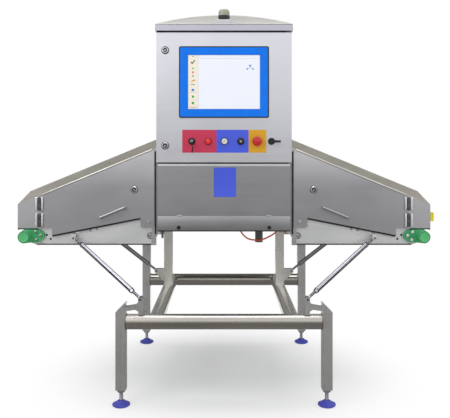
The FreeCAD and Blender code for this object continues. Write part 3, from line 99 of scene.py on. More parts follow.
def select(*pieces: bpy.types.Object) -> None:
    """Select these pieces alone and make the first one active."""
    deselect()
    for piece in pieces:
        piece.select_set(True)
    bpy.context.view_layer.objects.active = pieces[0]


def added(name: str) -> bpy.types.Object:
    """Name the primitive that was just added, and return it."""
    piece = bpy.context.view_layer.objects.active
    piece.name = name
    piece.data.name = name
    return piece


@contextmanager
def editing(piece: bpy.types.Object, kind: str = "FACE") -> Iterator[None]:
    """Work on a piece in edit mode, with nothing selected at the start.

    Args:
        piece: The piece to edit.
        kind: What the selection holds: VERT, EDGE or FACE.
    """
    select(piece)
    bpy.ops.object.mode_set(mode="EDIT")
    bpy.ops.mesh.select_mode(type=kind)
    bpy.ops.mesh.select_all(action="DESELECT")
    yield
    bpy.ops.object.mode_set(mode="OBJECT")


def pick_faces(piece: bpy.types.Object, test: Callable[[bmesh.types.BMFace], bool]) -> None:
    """Select the faces that a test takes, of a piece in edit mode."""
    mesh = bmesh.from_edit_mesh(piece.data)
    for face in mesh.faces:
        face.select_set(test(face))
    bmesh.update_edit_mesh(piece.data)


def pick_edges(piece: bpy.types.Object, test: Callable[[bmesh.types.BMEdge], bool]) -> None:
    """Select the edges that a test takes, of a piece in edit mode."""
    mesh = bmesh.from_edit_mesh(piece.data)
    for edge in mesh.edges:
        edge.select_set(test(edge))
    bmesh.update_edit_mesh(piece.data)


def pick_vertices(piece: bpy.types.Object, test: Callable[[bmesh.types.BMVert], bool]) -> None:
    """Select the vertices that a test takes, of a piece in edit mode."""
    mesh = bmesh.from_edit_mesh(piece.data)
    for vertex in mesh.verts:
        vertex.select_set(test(vertex))
    mesh.select_flush_mode()
    bmesh.update_edit_mesh(piece.data)


def faces_front(face: bmesh.types.BMFace) -> bool:
    """Tell whether a face looks to the operator's side."""
    return face.normal.y < -FACING


def faces_along(face: bmesh.types.BMFace) -> bool:
    """Tell whether a face looks to the front or to the back."""
    return abs(face.normal.y) > FACING


def reach(edge: bmesh.types.BMEdge, axis: int) -> float:
    """Return how far an edge reaches along x, y or z, given as 0, 1 or 2."""
    return abs(edge.verts[0].co[axis] - edge.verts[1].co[axis])


def in_front_of(y: float) -> Callable[[bmesh.types.BMEdge], bool]:
    """Return the test for an edge that lies wholly in front of a place along y."""
    return lambda edge: all(vertex.co.y < y for vertex in edge.verts)


def settle(piece: bpy.types.Object) -> None:
    """Put a piece's place, turn and scale into its mesh."""
    select(piece)
    bpy.ops.object.transform_apply(location=True, rotation=True, scale=True)


def block(name: str, low: Point, high: Point, turn: Point = (0.0, 0.0, 0.0)) -> bpy.types.Object:
    """Add a block between two corners.

    Args:
        name: The piece's name.
        low: The lowest corner.
        high: The highest corner.
        turn: A turn about the block's own middle, in radians.

    Returns:
        The block, with its place in its mesh.
    """
    deselect()
    middle = [(a + b) / 2 for a, b in zip(low, high)]
    span = [b - a for a, b in zip(low, high)]
    bpy.ops.mesh.primitive_cube_add(size=1.0, location=middle, rotation=turn, scale=span)
    piece = added(name)
    settle(piece)
    return piece


def disc(
    name: str, middle: Point, radius: float, length: float, axis: Axis = Axis.Y, sides: int = 48
) -> bpy.types.Object:
    """Add a round or many-sided disc.

    Args:
        name: The piece's name.
        middle: The middle of the disc.
        radius: Its radius, at its corners.
        length: Its length along the axis.
        axis: The direction that it points in.
        sides: How many sides it has.

    Returns:
        The disc, with its place in its mesh.
    """
    deselect()
    bpy.ops.mesh.primitive_cylinder_add(
        vertices=sides, radius=radius, depth=length, location=middle, rotation=axis.value
    )
    piece = added(name)
    settle(piece)
    return piece


def ring(
    name: str, middle: Point, radius: float, thickness: float, axis: Axis, sides: int = 64, around: int = 10
) -> bpy.types.Object:
    """Add a round ring.

    Args:
        name: The piece's name.
        middle: The middle of the ring.
        radius: The radius to the middle of its section.
        thickness: The radius of its section.
        axis: The direction that it faces.
        sides: How many parts it has.
        around: How many parts its section has.

    Returns:
        The ring, with its place in its mesh.
    """
    deselect()
    bpy.ops.mesh.primitive_torus_add(
        location=middle,
        rotation=axis.value,
        major_segments=sides,
        minor_segments=around,
        major_radius=radius,
        minor_radius=thickness,
    )
    piece = added(name)
    settle(piece)
    return piece


def apply_modifier(piece: bpy.types.Object, kind: str, **settings: object) -> None:
    """Add a modifier with its settings and apply it.

    Args:
        piece: The piece to change.
        kind: The modifier's type.
        **settings: The modifier's properties.
    """
    select(piece)
    modifier = piece.modifiers.new(kind.lower(), kind)
    for key, value in settings.items():
        setattr(modifier, key, value)
    bpy.ops.object.modifier_apply(modifier=modifier.name)


def soften(piece: bpy.types.Object, width: float, segments: int = 2, angle: float = 30.0) -> None:
    """Round a piece's sharp edges and shade it smoothly.

    Args:
        piece: The piece to change.
        width: The width of the rounding.
        segments: How many strips the rounding has.
        angle: The smallest angle in degrees that counts as an edge.
    """
    limit = math.radians(angle)
    apply_modifier(
        piece, "BEVEL", width=width, segments=segments, limit_method="ANGLE", angle_limit=limit
    )
    bpy.ops.object.shade_smooth_by_angle(angle=math.radians(35))


def join(name: str, *pieces: bpy.types.Object) -> bpy.types.Object:
    """Join pieces into one, name it and return it."""
    select(*pieces)
    if len(pieces) > 1:
        bpy.ops.object.join()
    return added(name)


def bevel_edges(
    piece: bpy.types.Object, test: Callable[[bmesh.types.BMEdge], bool], width: float, segments: int
) -> None:
    """Round the edges of a piece that a test takes.

    Args:
        piece: The piece to change.
        test: The test for an edge.
        width: The width of the rounding.
        segments: How many strips the rounding has.
    """
    with editing(piece, "EDGE"):
        pick_edges(piece, test)
        bpy.ops.mesh.bevel(offset=width, segments=segments)


def push(depth: float) -> None:
    """Extrude the selected faces backwards by a depth, or forwards by a negative one."""
    bpy.ops.mesh.extrude_region_move(TRANSFORM_OT_translate={"value": (0.0, depth, 0.0)})


def dish(piece: bpy.types.Object, rim: float, depth: float) -> None:
    """Sink the front of a piece inside a rim.

    Args:
        piece: The piece to change.
        rim: The width of the rim that stays.
        depth: How deep the rest sinks.
    """
    with editing(piece):
        pick_faces(piece, faces_front)
        bpy.ops.mesh.inset(thickness=rim)
        push(depth)


def bore(piece: bpy.types.Object, rim: float) -> None:
    """Bore a flat piece right through from front to back, and leave a rim.

    Args:
        piece: The piece to change.
        rim: The width of the rim that stays.
    """
    with editing(piece):
        pick_faces(piece, faces_along)
        bpy.ops.mesh.inset(thickness=rim)
        bpy.ops.mesh.bridge_edge_loops()


def mirrored(piece: bpy.types.Object, name: str) -> bpy.types.Object:
    """Copy a piece to the other side of the machine, with its faces outwards.

    Args:
        piece: The piece to copy.
        name: The copy's name.

    Returns:
        The mirrored copy, with its place in its mesh.
    """
    select(piece)
    bpy.ops.object.duplicate()
    bpy.ops.transform.resize(value=(-1.0, 1.0, 1.0), center_override=(0.0, 0.0, 0.0))
    copy = added(name)
    settle(copy)
    with editing(copy):
        bpy.ops.mesh.select_all(action="SELECT")
        bpy.ops.mesh.normals_make_consistent(inside=False)
    return copy


def sided(piece: bpy.types.Object, side: Side, name: str) -> bpy.types.Object:
    """Keep a piece that was shaped on the right, or mirror it to the left.

    Args:
        piece: The piece, shaped on the right.
        side: The side that it is for.
        name: The name that it gets.

    Returns:
        The piece on its side.
    """
    if side is Side.RIGHT:
        piece.name = name
        return piece
    copy = mirrored(piece, name)
    bpy.data.objects.remove(piece)
    return copy


# Materials


def linear(red: float, green: float, blue: float) -> Colour:
    """Turn a screen colour from 0 to 255 into the linear colour that a shader takes."""

    def convert(value: float) -> float:
        """Convert one part of the colour."""
        share = value / 255.0
        return share / 12.92 if share <= 0.04045 else ((share + 0.055) / 1.055) ** 2.4

    return convert(red), convert(green), convert(blue)


def shade(colour: Colour, share: float) -> tuple[float, float, float, float]:
    """Return a colour that is lighter or darker by a share, with its alpha."""
    return tuple(min(1.0, part * share) for part in colour) + (1.0,)


class Recipe:
    """The nodes of one material, put together step by step."""

    def __init__(self, name: str) -> None:
        """Start a material of that name, with its shader and output."""
        self.material = bpy.data.materials.new(name)
        self.material.use_nodes = True
        self.tree = self.material.node_tree
        self.tree.nodes.clear()
        self.output = self.node("ShaderNodeOutputMaterial")
        self.shader = self.node("ShaderNodeBsdfPrincipled")
        self.join(self.shader.outputs[0], self.output.inputs["Surface"])
        self.place = self.node("ShaderNodeTexCoord").outputs["Object"]

    def node(self, kind: str, **settings: object) -> bpy.types.Node:
        """Add a node and set its properties.

        Args:
            kind: The node's type.
            **settings: The node's properties.

        Returns:
            The new node.
        """
        item = self.tree.nodes.new(kind)
        for key, value in settings.items():
            setattr(item, key, value)
        return item

    def join(self, start: bpy.types.NodeSocket, end: bpy.types.NodeSocket) -> None:
        """Link one socket to another."""
        self.tree.links.new(start, end)

    def noise(self, scale: float, detail: float, stretch: Point = (1.0, 1.0, 1.0)) -> bpy.types.NodeSocket:
        """Add a noise pattern.

        Args:
            scale: The pattern's scale per metre.
            detail: How many finer layers it has.
            stretch: Its scale along each axis.

        Returns:
            The pattern's value.
        """
        mapping = self.node("ShaderNodeMapping")
        mapping.inputs["Scale"].default_value = stretch
        self.join(self.place, mapping.inputs["Vector"])
        noise = self.node("ShaderNodeTexNoise")
        noise.inputs["Scale"].default_value = scale
        noise.inputs["Detail"].default_value = detail
        self.join(mapping.outputs[0], noise.inputs["Vector"])
        return noise.outputs["Fac"]

    def ranged(self, value: bpy.types.NodeSocket, low: float, high: float) -> bpy.types.NodeSocket:
        """Spread the middle half of a pattern over a range, and return the result."""
        spread = self.node("ShaderNodeMapRange")
        spread.inputs["From Min"].default_value = 0.3
        spread.inputs["From Max"].default_value = 0.7
        spread.inputs["To Min"].default_value = low
        spread.inputs["To Max"].default_value = high
        self.join(value, spread.inputs["Value"])
        return spread.outputs["Result"]

    def sum(self, first: bpy.types.NodeSocket, second: bpy.types.NodeSocket) -> bpy.types.NodeSocket:
        """Add one value to another, and return the sum."""
        maths = self.node("ShaderNodeMath", operation="ADD")
        self.join(first, maths.inputs[0])
        self.join(second, maths.inputs[1])
        return maths.outputs[0]

    def blend(
        self, share: bpy.types.NodeSocket, dark: Sequence[float], light: Sequence[float]
    ) -> bpy.types.NodeSocket:
        """Blend two colours by a value from 0 to 1, and return the result."""
        mix = self.node("ShaderNodeMix", data_type="RGBA")
        inlets = [socket for socket in mix.inputs if socket.type == "RGBA"]
        inlets[0].default_value = dark
        inlets[1].default_value = light
        self.join(share, mix.inputs["Factor"])
        return next(socket for socket in mix.outputs if socket.type == "RGBA")

    def choose(
        self, share: bpy.types.NodeSocket, first: bpy.types.NodeSocket, second: bpy.types.NodeSocket
    ) -> bpy.types.NodeSocket:
        """Blend one pattern of colour into another, and return the result."""
        mix = self.node("ShaderNodeMix", data_type="RGBA")
        inlets = [socket for socket in mix.inputs if socket.type == "RGBA"]
        self.join(first, inlets[0])
        self.join(second, inlets[1])
        self.join(share, mix.inputs["Factor"])
        return next(socket for socket in mix.outputs if socket.type == "RGBA")

    def bump(self, height: bpy.types.NodeSocket, strength: float, depth: float) -> None:
        """Press a pattern into the surface.

        Args:
            height: The pattern.
            strength: How strongly it shows, from 0 to 1.
            depth: Its depth in metres.
        """
        bump = self.node("ShaderNodeBump")
        bump.inputs["Strength"].default_value = strength
        bump.inputs["Distance"].default_value = depth
        self.join(height, bump.inputs["Height"])
        self.join(bump.outputs[0], self.shader.inputs["Normal"])

    def along(self, axis: str) -> bpy.types.NodeSocket:
        """Return the place on the piece along X, Y or Z."""
        split = self.node("ShaderNodeSeparateXYZ")
        self.join(self.place, split.inputs[0])
        return split.outputs[axis]

    def colour(self, socket: bpy.types.NodeSocket) -> None:
        """Give the shader its colour."""
        self.join(socket, self.shader.inputs["Base Color"])

    def mottle(self, pattern: bpy.types.NodeSocket, colour: Colour, dark: float, light: float) -> None:
        """Give the shader a colour that a pattern makes a little darker or lighter.

        Args:
            pattern: The pattern.
            colour: The colour.
            dark: The share of the colour where the pattern is low.
            light: The share of the colour where the pattern is high.
        """
        self.colour(
            self.blend(self.ranged(pattern, 0.0, 1.0), shade(colour, dark), shade(colour, light))
        )

    def roughness(self, socket: bpy.types.NodeSocket) -> None:
        """Give the shader its roughness."""
        self.join(socket, self.shader.inputs["Roughness"])

    def constant(self, **values: float) -> None:
        """Set numbers on the shader's own sockets, named with underscores."""
        for key, value in values.items():
            self.shader.inputs[key.replace("_", " ")].default_value = value


@dataclass(frozen=True)
class Finish:
    """A surface finish: its name, its screen colour from 0 to 255 and the record's slot, which is not used.
    """

    name: str
    colour: Colour
    slot: str

    def make(self) -> bpy.types.Material:
        """Return the material, made when it is first asked for."""
        known = bpy.data.materials.get(self.name)
        if known is not None:
            return known
        recipe = Recipe(self.name)
        self.fill(recipe, linear(*self.colour))
        return recipe.material

    def fill(self, recipe: Recipe, colour: Colour) -> None:
        """Fill in the recipe; each kind of finish does this in its own way."""
        raise NotImplementedError


@dataclass(frozen=True)
class BrushedSheet(Finish):
    """Brushed stainless sheet: fine streaks, soft clouds of tone and faint wipe marks.

    The part in front of face_y may have a colour of its own, a painted shade that darkens the sheet's front
    faces against its top, and the part from the lower to the upper one of sheen_heights may get lighter by
    the share that sheen gives, a painted sheen of reflected light.
    """

    grain: Grain = Grain.ACROSS
    rough: float = 0.34
    streak: float = 0.07
    cloud: float = 0.06
    cloud_size: float = 2.3
    # A darker colour for the front faces: painted shade.
    face: Optional[Colour] = None
    face_y: float = -0.2
    # How much lighter the upper part gets: a painted sheen.
    sheen: float = 0.0
    sheen_heights: tuple[float, float] = (0.85, 0.985)

    def toned(
        self, recipe: Recipe, share: bpy.types.NodeSocket, colour: Colour, lift: float = 1.0
    ) -> bpy.types.NodeSocket:
        """Spread a colour by the sheet's streaks and clouds.

        Args:
            recipe: The recipe that gets the nodes.
            share: The tone, from 0 to 1.
            colour: The colour in the middle of the spread.
            lift: How much lighter all of it is.

        Returns:
            The colour's socket.
        """
        spread = self.streak + self.cloud
        return recipe.blend(
            share, shade(colour, (1.0 - spread) * lift), shade(colour, (1.0 + spread) * lift)
        )

    def fill(self, recipe: Recipe, colour: Colour) -> None:
        """Brush the sheet along its grain."""
        streaks = recipe.noise(1.0, 4.0, self.grain.value)
        clouds = recipe.noise(self.cloud_size, 1.5)
        marks = recipe.noise(9.0, 5.0, (1.0, 1.0, 2.4))
        tone = recipe.sum(
            recipe.ranged(streaks, 0.0, self.streak), recipe.ranged(clouds, 0.0, self.cloud)
        )
        scaled = recipe.node("ShaderNodeMath", operation="DIVIDE")
        scaled.inputs[1].default_value = self.streak + self.cloud
        recipe.join(tone, scaled.inputs[0])
        tint = self.toned(recipe, scaled.outputs[0], colour)
        # Painted shade: the part in front of face_y gets its own tone, darker than the rest of the sheet, as
        # if its front faces lay in shade.
        if self.face is not None:
            edge = recipe.node("ShaderNodeMath", operation="LESS_THAN")
            edge.inputs[1].default_value = self.face_y
            recipe.join(recipe.along("Y"), edge.inputs[0])
            painted_front_shade = self.toned(recipe, scaled.outputs[0], linear(*self.face))
            tint = recipe.choose(edge.outputs[0], tint, painted_front_shade)
        # Painted sheen: the sheet grows lighter from the lower to the upper sheen height, reflected light
        # painted into the colour.
        if self.sheen:
            rise = recipe.node("ShaderNodeMapRange")
            rise.inputs["From Min"].default_value, rise.inputs["From Max"].default_value = self.sheen_heights
            recipe.join(recipe.along("Z"), rise.inputs["Value"])
            painted_sheen_tint = self.toned(recipe, scaled.outputs[0], colour, 1.0 + self.sheen)
            tint = recipe.choose(rise.outputs[0], tint, painted_sheen_tint)
        recipe.colour(tint)
        rough = recipe.sum(
            recipe.ranged(streaks, self.rough - 0.05, self.rough + 0.05), recipe.ranged(marks, -0.03, 0.06)
        )
        recipe.roughness(rough)
        recipe.bump(streaks, 0.05, 0.0003)
        recipe.constant(Metallic=1.0)


@dataclass(frozen=True)
class PolishedTube(Finish):
    """Polished stainless: clean reflections, with light turning marks."""

    rough: float = 0.16

    def fill(self, recipe: Recipe, colour: Colour) -> None:
        """Polish the metal and leave a little waviness."""
        marks = recipe.noise(160.0, 3.0)
        waves = recipe.noise(14.0, 1.0)
        recipe.mottle(waves, colour, 0.93, 1.06)
        recipe.roughness(recipe.ranged(marks, self.rough - 0.04, self.rough + 0.06))
        recipe.bump(waves, 0.08, 0.002)
        recipe.constant(Metallic=1.0)


@dataclass(frozen=True)
class MouldedPlastic(Finish):
    """Moulded plastic: an even colour with a fine eggshell surface and dulled spots."""

    rough: float = 0.38
    pores: float = 900.0
    depth: float = 0.00015
    coat: float = 0.0
    shine: float = 0.5

    def fill(self, recipe: Recipe, colour: Colour) -> None:
        """Mould the plastic."""
        skin = recipe.noise(self.pores, 2.0)
        patches = recipe.noise(22.0, 3.0)
        recipe.mottle(patches, colour, 0.94, 1.05)
        recipe.roughness(recipe.ranged(patches, self.rough - 0.05, self.rough + 0.07))
        recipe.bump(skin, 0.25, self.depth)
        recipe.constant(
            Coat_Weight=self.coat, Coat_Roughness=0.12, IOR=1.48, Specular_IOR_Level=self.shine
        )


@dataclass(frozen=True)
class PaintedMetal(Finish):
    """Sprayed paint with orange peel."""

    rough: float = 0.42

    def fill(self, recipe: Recipe, colour: Colour) -> None:
        """Spray the paint."""
        peel = recipe.noise(260.0, 1.5)
        tone = recipe.noise(5.0, 2.0)
        recipe.mottle(tone, colour, 0.95, 1.04)
        recipe.roughness(recipe.ranged(peel, self.rough - 0.04, self.rough + 0.06))
        recipe.bump(peel, 0.3, 0.0003)
        recipe.constant(IOR=1.5)


@dataclass(frozen=True)
class WovenBelt(Finish):
    """A coated conveyor belt: a fine crossed weave under a matt white skin, a little used."""

    thread: float = 42.5

    def fill(self, recipe: Recipe, colour: Colour) -> None:
        """Weave and coat the belt."""
        waves = []
        for direction in ("X", "Y"):
            wave = recipe.node("ShaderNodeTexWave", wave_type="BANDS", bands_direction=direction)
            wave.inputs["Scale"].default_value = self.thread
            wave.inputs["Distortion"].default_value = 0.4
            recipe.join(recipe.place, wave.inputs["Vector"])
            waves.append(wave.outputs["Fac"])
        weave = recipe.sum(*waves)
        use = recipe.noise(6.0, 5.0, (1.0, 3.0, 1.0))
        recipe.mottle(use, colour, 0.9, 1.0)
        recipe.roughness(recipe.ranged(use, 0.5, 0.66))
        recipe.bump(weave, 0.2, 0.0003)
        recipe.constant(IOR=1.45)


@dataclass(frozen=True)
class RibbedDome(Finish):
    """A beacon's dome: tinted plastic with level lens ribs."""

    ribs: float = 95.0

    def fill(self, recipe: Recipe, colour: Colour) -> None:
        """Tint the dome and press its ribs."""
        wave = recipe.node("ShaderNodeTexWave", wave_type="BANDS", bands_direction="Z")
        wave.inputs["Scale"].default_value = self.ribs
        recipe.join(recipe.place, wave.inputs["Vector"])
        tone = recipe.noise(30.0, 2.0)
        recipe.mottle(tone, colour, 0.9, 1.08)
        recipe.roughness(recipe.ranged(tone, 0.2, 0.3))
        recipe.bump(wave.outputs["Fac"], 0.35, 0.0008)
        recipe.constant(Coat_Weight=0.5, Coat_Roughness=0.08, IOR=1.49, Subsurface_Weight=0.15)


@dataclass(frozen=True)
class CordJacket(Finish):
    """A cable's sheath: smooth rubber with a faint ripple and handling marks."""

    def fill(self, recipe: Recipe, colour: Colour) -> None:
        """Draw the sheath."""
        ripple = recipe.noise(420.0, 2.0)
        tone = recipe.noise(40.0, 2.0)
        recipe.mottle(tone, colour, 0.9, 1.06)
        recipe.roughness(recipe.ranged(tone, 0.38, 0.5))
        recipe.bump(ripple, 0.2, 0.0002)
        recipe.constant(IOR=1.47)


@dataclass(frozen=True)
class LitDisplay(Finish):
    """The lit page under the touch glass: a cream column of keys beside a pale page."""

    left: float = -0.152
    column: float = 0.0425
    column_colour: Colour = (240, 232, 214)
    glow: float = 0.12

    def fill(self, recipe: Recipe, colour: Colour) -> None:
        """Lay out the page by the place on the glass."""
        edge = recipe.node("ShaderNodeMath", operation="GREATER_THAN")
        edge.inputs[1].default_value = self.left + self.column
        recipe.join(recipe.along("X"), edge.inputs[0])
        page = recipe.blend(
            edge.outputs[0], shade(linear(*self.column_colour), 1.0), shade(colour, 1.0)
        )
        dots = recipe.noise(1400.0, 1.0)
        recipe.colour(page)
        recipe.join(page, recipe.shader.inputs["Emission Color"])
        recipe.roughness(recipe.ranged(dots, 0.22, 0.3))
        recipe.constant(Emission_Strength=self.glow, Coat_Weight=0.4, Coat_Roughness=0.05, IOR=1.5)


# The machine's finishes

DOOR_SHEET = BrushedSheet("door_sheet", (224, 225, 232), "stainless_sheet", Grain.ACROSS, 0.34, 0.025, 0.06)
PANEL_SHEET = BrushedSheet("panel_sheet", (174, 174, 178), "stainless_sheet", Grain.ACROSS, 0.4, 0.03, 0.05)
COVER_SHEET = BrushedSheet("cover_sheet", (184, 185, 188), "stainless_sheet", Grain.ACROSS, 0.38, 0.03, 0.04)
# The panel's folded hem takes a much lighter copy of the panel steel: a painted highlight along the fold.
HEM_HIGHLIGHT_SHEET = BrushedSheet("hem_sheet", (238, 239, 242), "stainless_sheet", Grain.ACROSS, 0.38, 0.02, 0.04)
# The guards grow lighter towards their upper inner end: a painted sheen.
WING_SHEET = BrushedSheet(
    "wing_sheet", (184, 184, 189), "stainless_sheet", Grain.ACROSS, 0.4, 0.02, 0.06, sheen=0.5
)
# The hood's front faces get a darker, cooler tone than its top: painted shade.
HOOD_SHEET = BrushedSheet(
    "hood_sheet",
    (214, 210, 198),
    "stainless_sheet",
    Grain.ACROSS,
    0.38,
    0.02,
    0.06,
    face=(204, 203, 207),
    face_y=-0.2035,
)
PLATE_SHEET = BrushedSheet(
    "plate_sheet", (248, 251, 255), "stainless_sheet", Grain.ACROSS, 0.42, 0.015, 0.07, 3.0
)
# The roof's front rim gets a much darker, bluer tone than its top: painted shade.
ROOF_SHEET = BrushedSheet(
    "roof_sheet",
    (240, 238, 233),
    "stainless_sheet",
    Grain.DEEP,
    0.36,
    0.02,
    0.06,
    face=(194, 193, 206),
    face_y=-0.252,
)
CABINET_SHEET = BrushedSheet(
    "cabinet_sheet", (172, 173, 176), "stainless_sheet", Grain.UPRIGHT, 0.38, 0.03, 0.06
)
HOUSING_SHEET = BrushedSheet(
    "housing_sheet", (160, 160, 160), "stainless_sheet", Grain.ACROSS, 0.4, 0.03, 0.05
)
LEG_TUBE = BrushedSheet("leg_tube", (232, 232, 232), "stainless_tube", Grain.UPRIGHT, 0.3, 0.01, 0.05)
POST_TUBE = BrushedSheet("post_tube", (255, 252, 246), "stainless_tube", Grain.UPRIGHT, 0.3, 0.01, 0.05)
BAR_TUBE = BrushedSheet("bar_tube", (186, 182, 176), "stainless_tube", Grain.ACROSS, 0.22, 0.01, 0.03)
RAIL_TUBE = BrushedSheet("rail_tube", (214, 211, 206), "stainless_tube", Grain.DEEP, 0.2, 0.01, 0.03)
# A dark brownish copy of the steel for the side plate's lower lip: painted shade on the flange.
LIP_SHADE_STEEL = BrushedSheet("lip_steel", (96, 91, 84), "stainless_sheet", Grain.ACROSS, 0.4, 0.04, 0.05)
WELD = PolishedTube("weld_bead", (140, 137, 132), "stainless_tube", 0.34)
STAY_STEEL = PolishedTube("stay_steel", (158, 159, 166), "polished_steel", 0.16)
# The castings' near-white tone is partly the polished steel and partly a painted highlight.
HINGE_STEEL_AND_HIGHLIGHT = BrushedSheet("hinge_steel", (255, 255, 255), "polished_steel", Grain.UPRIGHT, 0.42, 0.01, 0.02)
# A much darker copy of the hinge steel for the knuckle sleeves: painted shade in the gap between the
# castings.
SLEEVE_SHADE_STEEL = BrushedSheet("sleeve_steel", (112, 110, 116), "polished_steel", Grain.UPRIGHT, 0.3, 0.01, 0.02)
FOLD_STEEL = PolishedTube("fold_steel", (214, 212, 206), "polished_steel", 0.34)
FITTING_STEEL = PolishedTube("fitting_steel", (200, 200, 204), "polished_steel", 0.18)
LOCK_STEEL = PolishedTube("lock_steel", (215, 216, 220), "polished_steel", 0.14)
BEARING_GREEN = MouldedPlastic("bearing_green", (64, 168, 104), "green_plastic", 0.36, 700.0)
# A lighter copy of the bearing green for the cap on the housing's front face: a painted highlight.
BEARING_HIGHLIGHT = MouldedPlastic("bearing_light", (84, 186, 116), "green_plastic", 0.34, 700.0)
BOLT_CAP = MouldedPlastic("bolt_cap", (222, 214, 224), "white_plastic", 0.36)
PAD_BLUE = MouldedPlastic("pad_blue", (76, 80, 186), "blue_pad", 0.4)
PLASTIC_BLACK = MouldedPlastic("plastic_black", (26, 26, 30), "black_plastic", 0.36)
RUBBER_BLACK = MouldedPlastic("rubber_black", (20, 20, 24), "black_plastic", 0.6)
BUTTON_RED = MouldedPlastic("button_red", (240, 34, 26), "crimson_plastic", 0.2, coat=0.6)
MUSHROOM_RED = MouldedPlastic("mushroom_red", (200, 26, 36), "crimson_plastic", 0.22, coat=0.5)
BUTTON_WHITE = MouldedPlastic("button_white", (232, 228, 214), "white_plastic", 0.3, coat=0.2)
SENSOR_YELLOW = MouldedPlastic("sensor_yellow_body", (232, 218, 20), "sensor_yellow", 0.34)
GLAND_GREY = MouldedPlastic("gland_grey", (84, 92, 92), "black_plastic", 0.42)
CABLE_ORANGE = CordJacket("cable_sheath", (240, 86, 30), "cable_orange")
BEACON_DOME = RibbedDome("beacon_dome", (158, 164, 142), "beacon_green")
MEMBRANE_BLUE = MouldedPlastic(
    "membrane_blue", (0, 122, 244), "screen_blue", 0.42, 1600.0, 0.00006, 0.0, 0.25
)
DISPLAY = LitDisplay("lit_display", (238, 241, 250), "screen_blue")
TANK_PAINT = PaintedMetal("tank_paint", (150, 156, 160), "tank_grey")
DETECTOR_CAST = PaintedMetal("detector_cast", (120, 122, 126), "detector_alloy", 0.5)
BELT = WovenBelt("belt_weave", (236, 236, 232), "belt_white")
LEGEND_GREY = PaintedMetal("legend_grey", (150, 152, 158), "tank_grey", 0.4)
LEGEND_CRIMSON = PaintedMetal("legend_crimson", (204, 48, 84), "crimson_plastic", 0.36)
LEGEND_VIOLET = PaintedMetal("legend_violet", (70, 92, 224), "screen_blue", 0.36)
LEGEND_GOLD = PaintedMetal("legend_gold", (222, 164, 10), "sensor_yellow", 0.36)


def dress(finish: Finish, *nodes: str) -> None:
    """Give CAD nodes a finish, in their own material slots.

    Args:
        finish: The finish.
        *nodes: The names of the nodes.
    """
    material = finish.make()
    for node in nodes:
        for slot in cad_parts[node].material_slots:
            slot.material = material


def mount(piece: bpy.types.Object, body: str, finish: Finish) -> bpy.types.Object:
    """Give a new piece its finish and let it ride on a body.

    Args:
        piece: The finished piece.
        body: The CAD body that carries it.
        finish: Its finish.

    Returns:
        The piece.
    """
    piece.data.materials.clear()
    piece.data.materials.append(finish.make())
    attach(piece, body)
    LOG.info("%s on %s: %d faces", piece.name, body, len(piece.data.polygons))
    return piece


def lock_insert(name: str, middle: Point) -> list[bpy.types.Object]:
    """Model the insert of a quarter-turn lock: a dark cup with a bright winged key slot.

    Args:
        name: The start of the pieces' names.
        middle: The middle of the lock's face.

    Returns:
        The dark cup and the bright core.
    """
    x, y, z = middle
    cup = disc(name + "_cup", (x, y - 0.0001, z), 0.0092, 0.0012, Axis.Y, 48)
    dish(cup, 0.0011, 0.0005)
    soften(cup, 0.0002)
    half_long, half_high, turn = 0.0058, 0.0019, -0.6
    bar = block(
        name + "_core",
        (x - half_long, y - 0.0012, z - half_high),
        (x + half_long, y - 0.0002, z + half_high),
        (0.0, turn, 0.0),
    )
    with editing(bar):
        pick_faces(bar, faces_front)
        bpy.ops.mesh.inset(thickness=0.0006, depth=-0.0003)
    soften(bar, 0.0004, 3)
    return [cup, bar]


# Studio


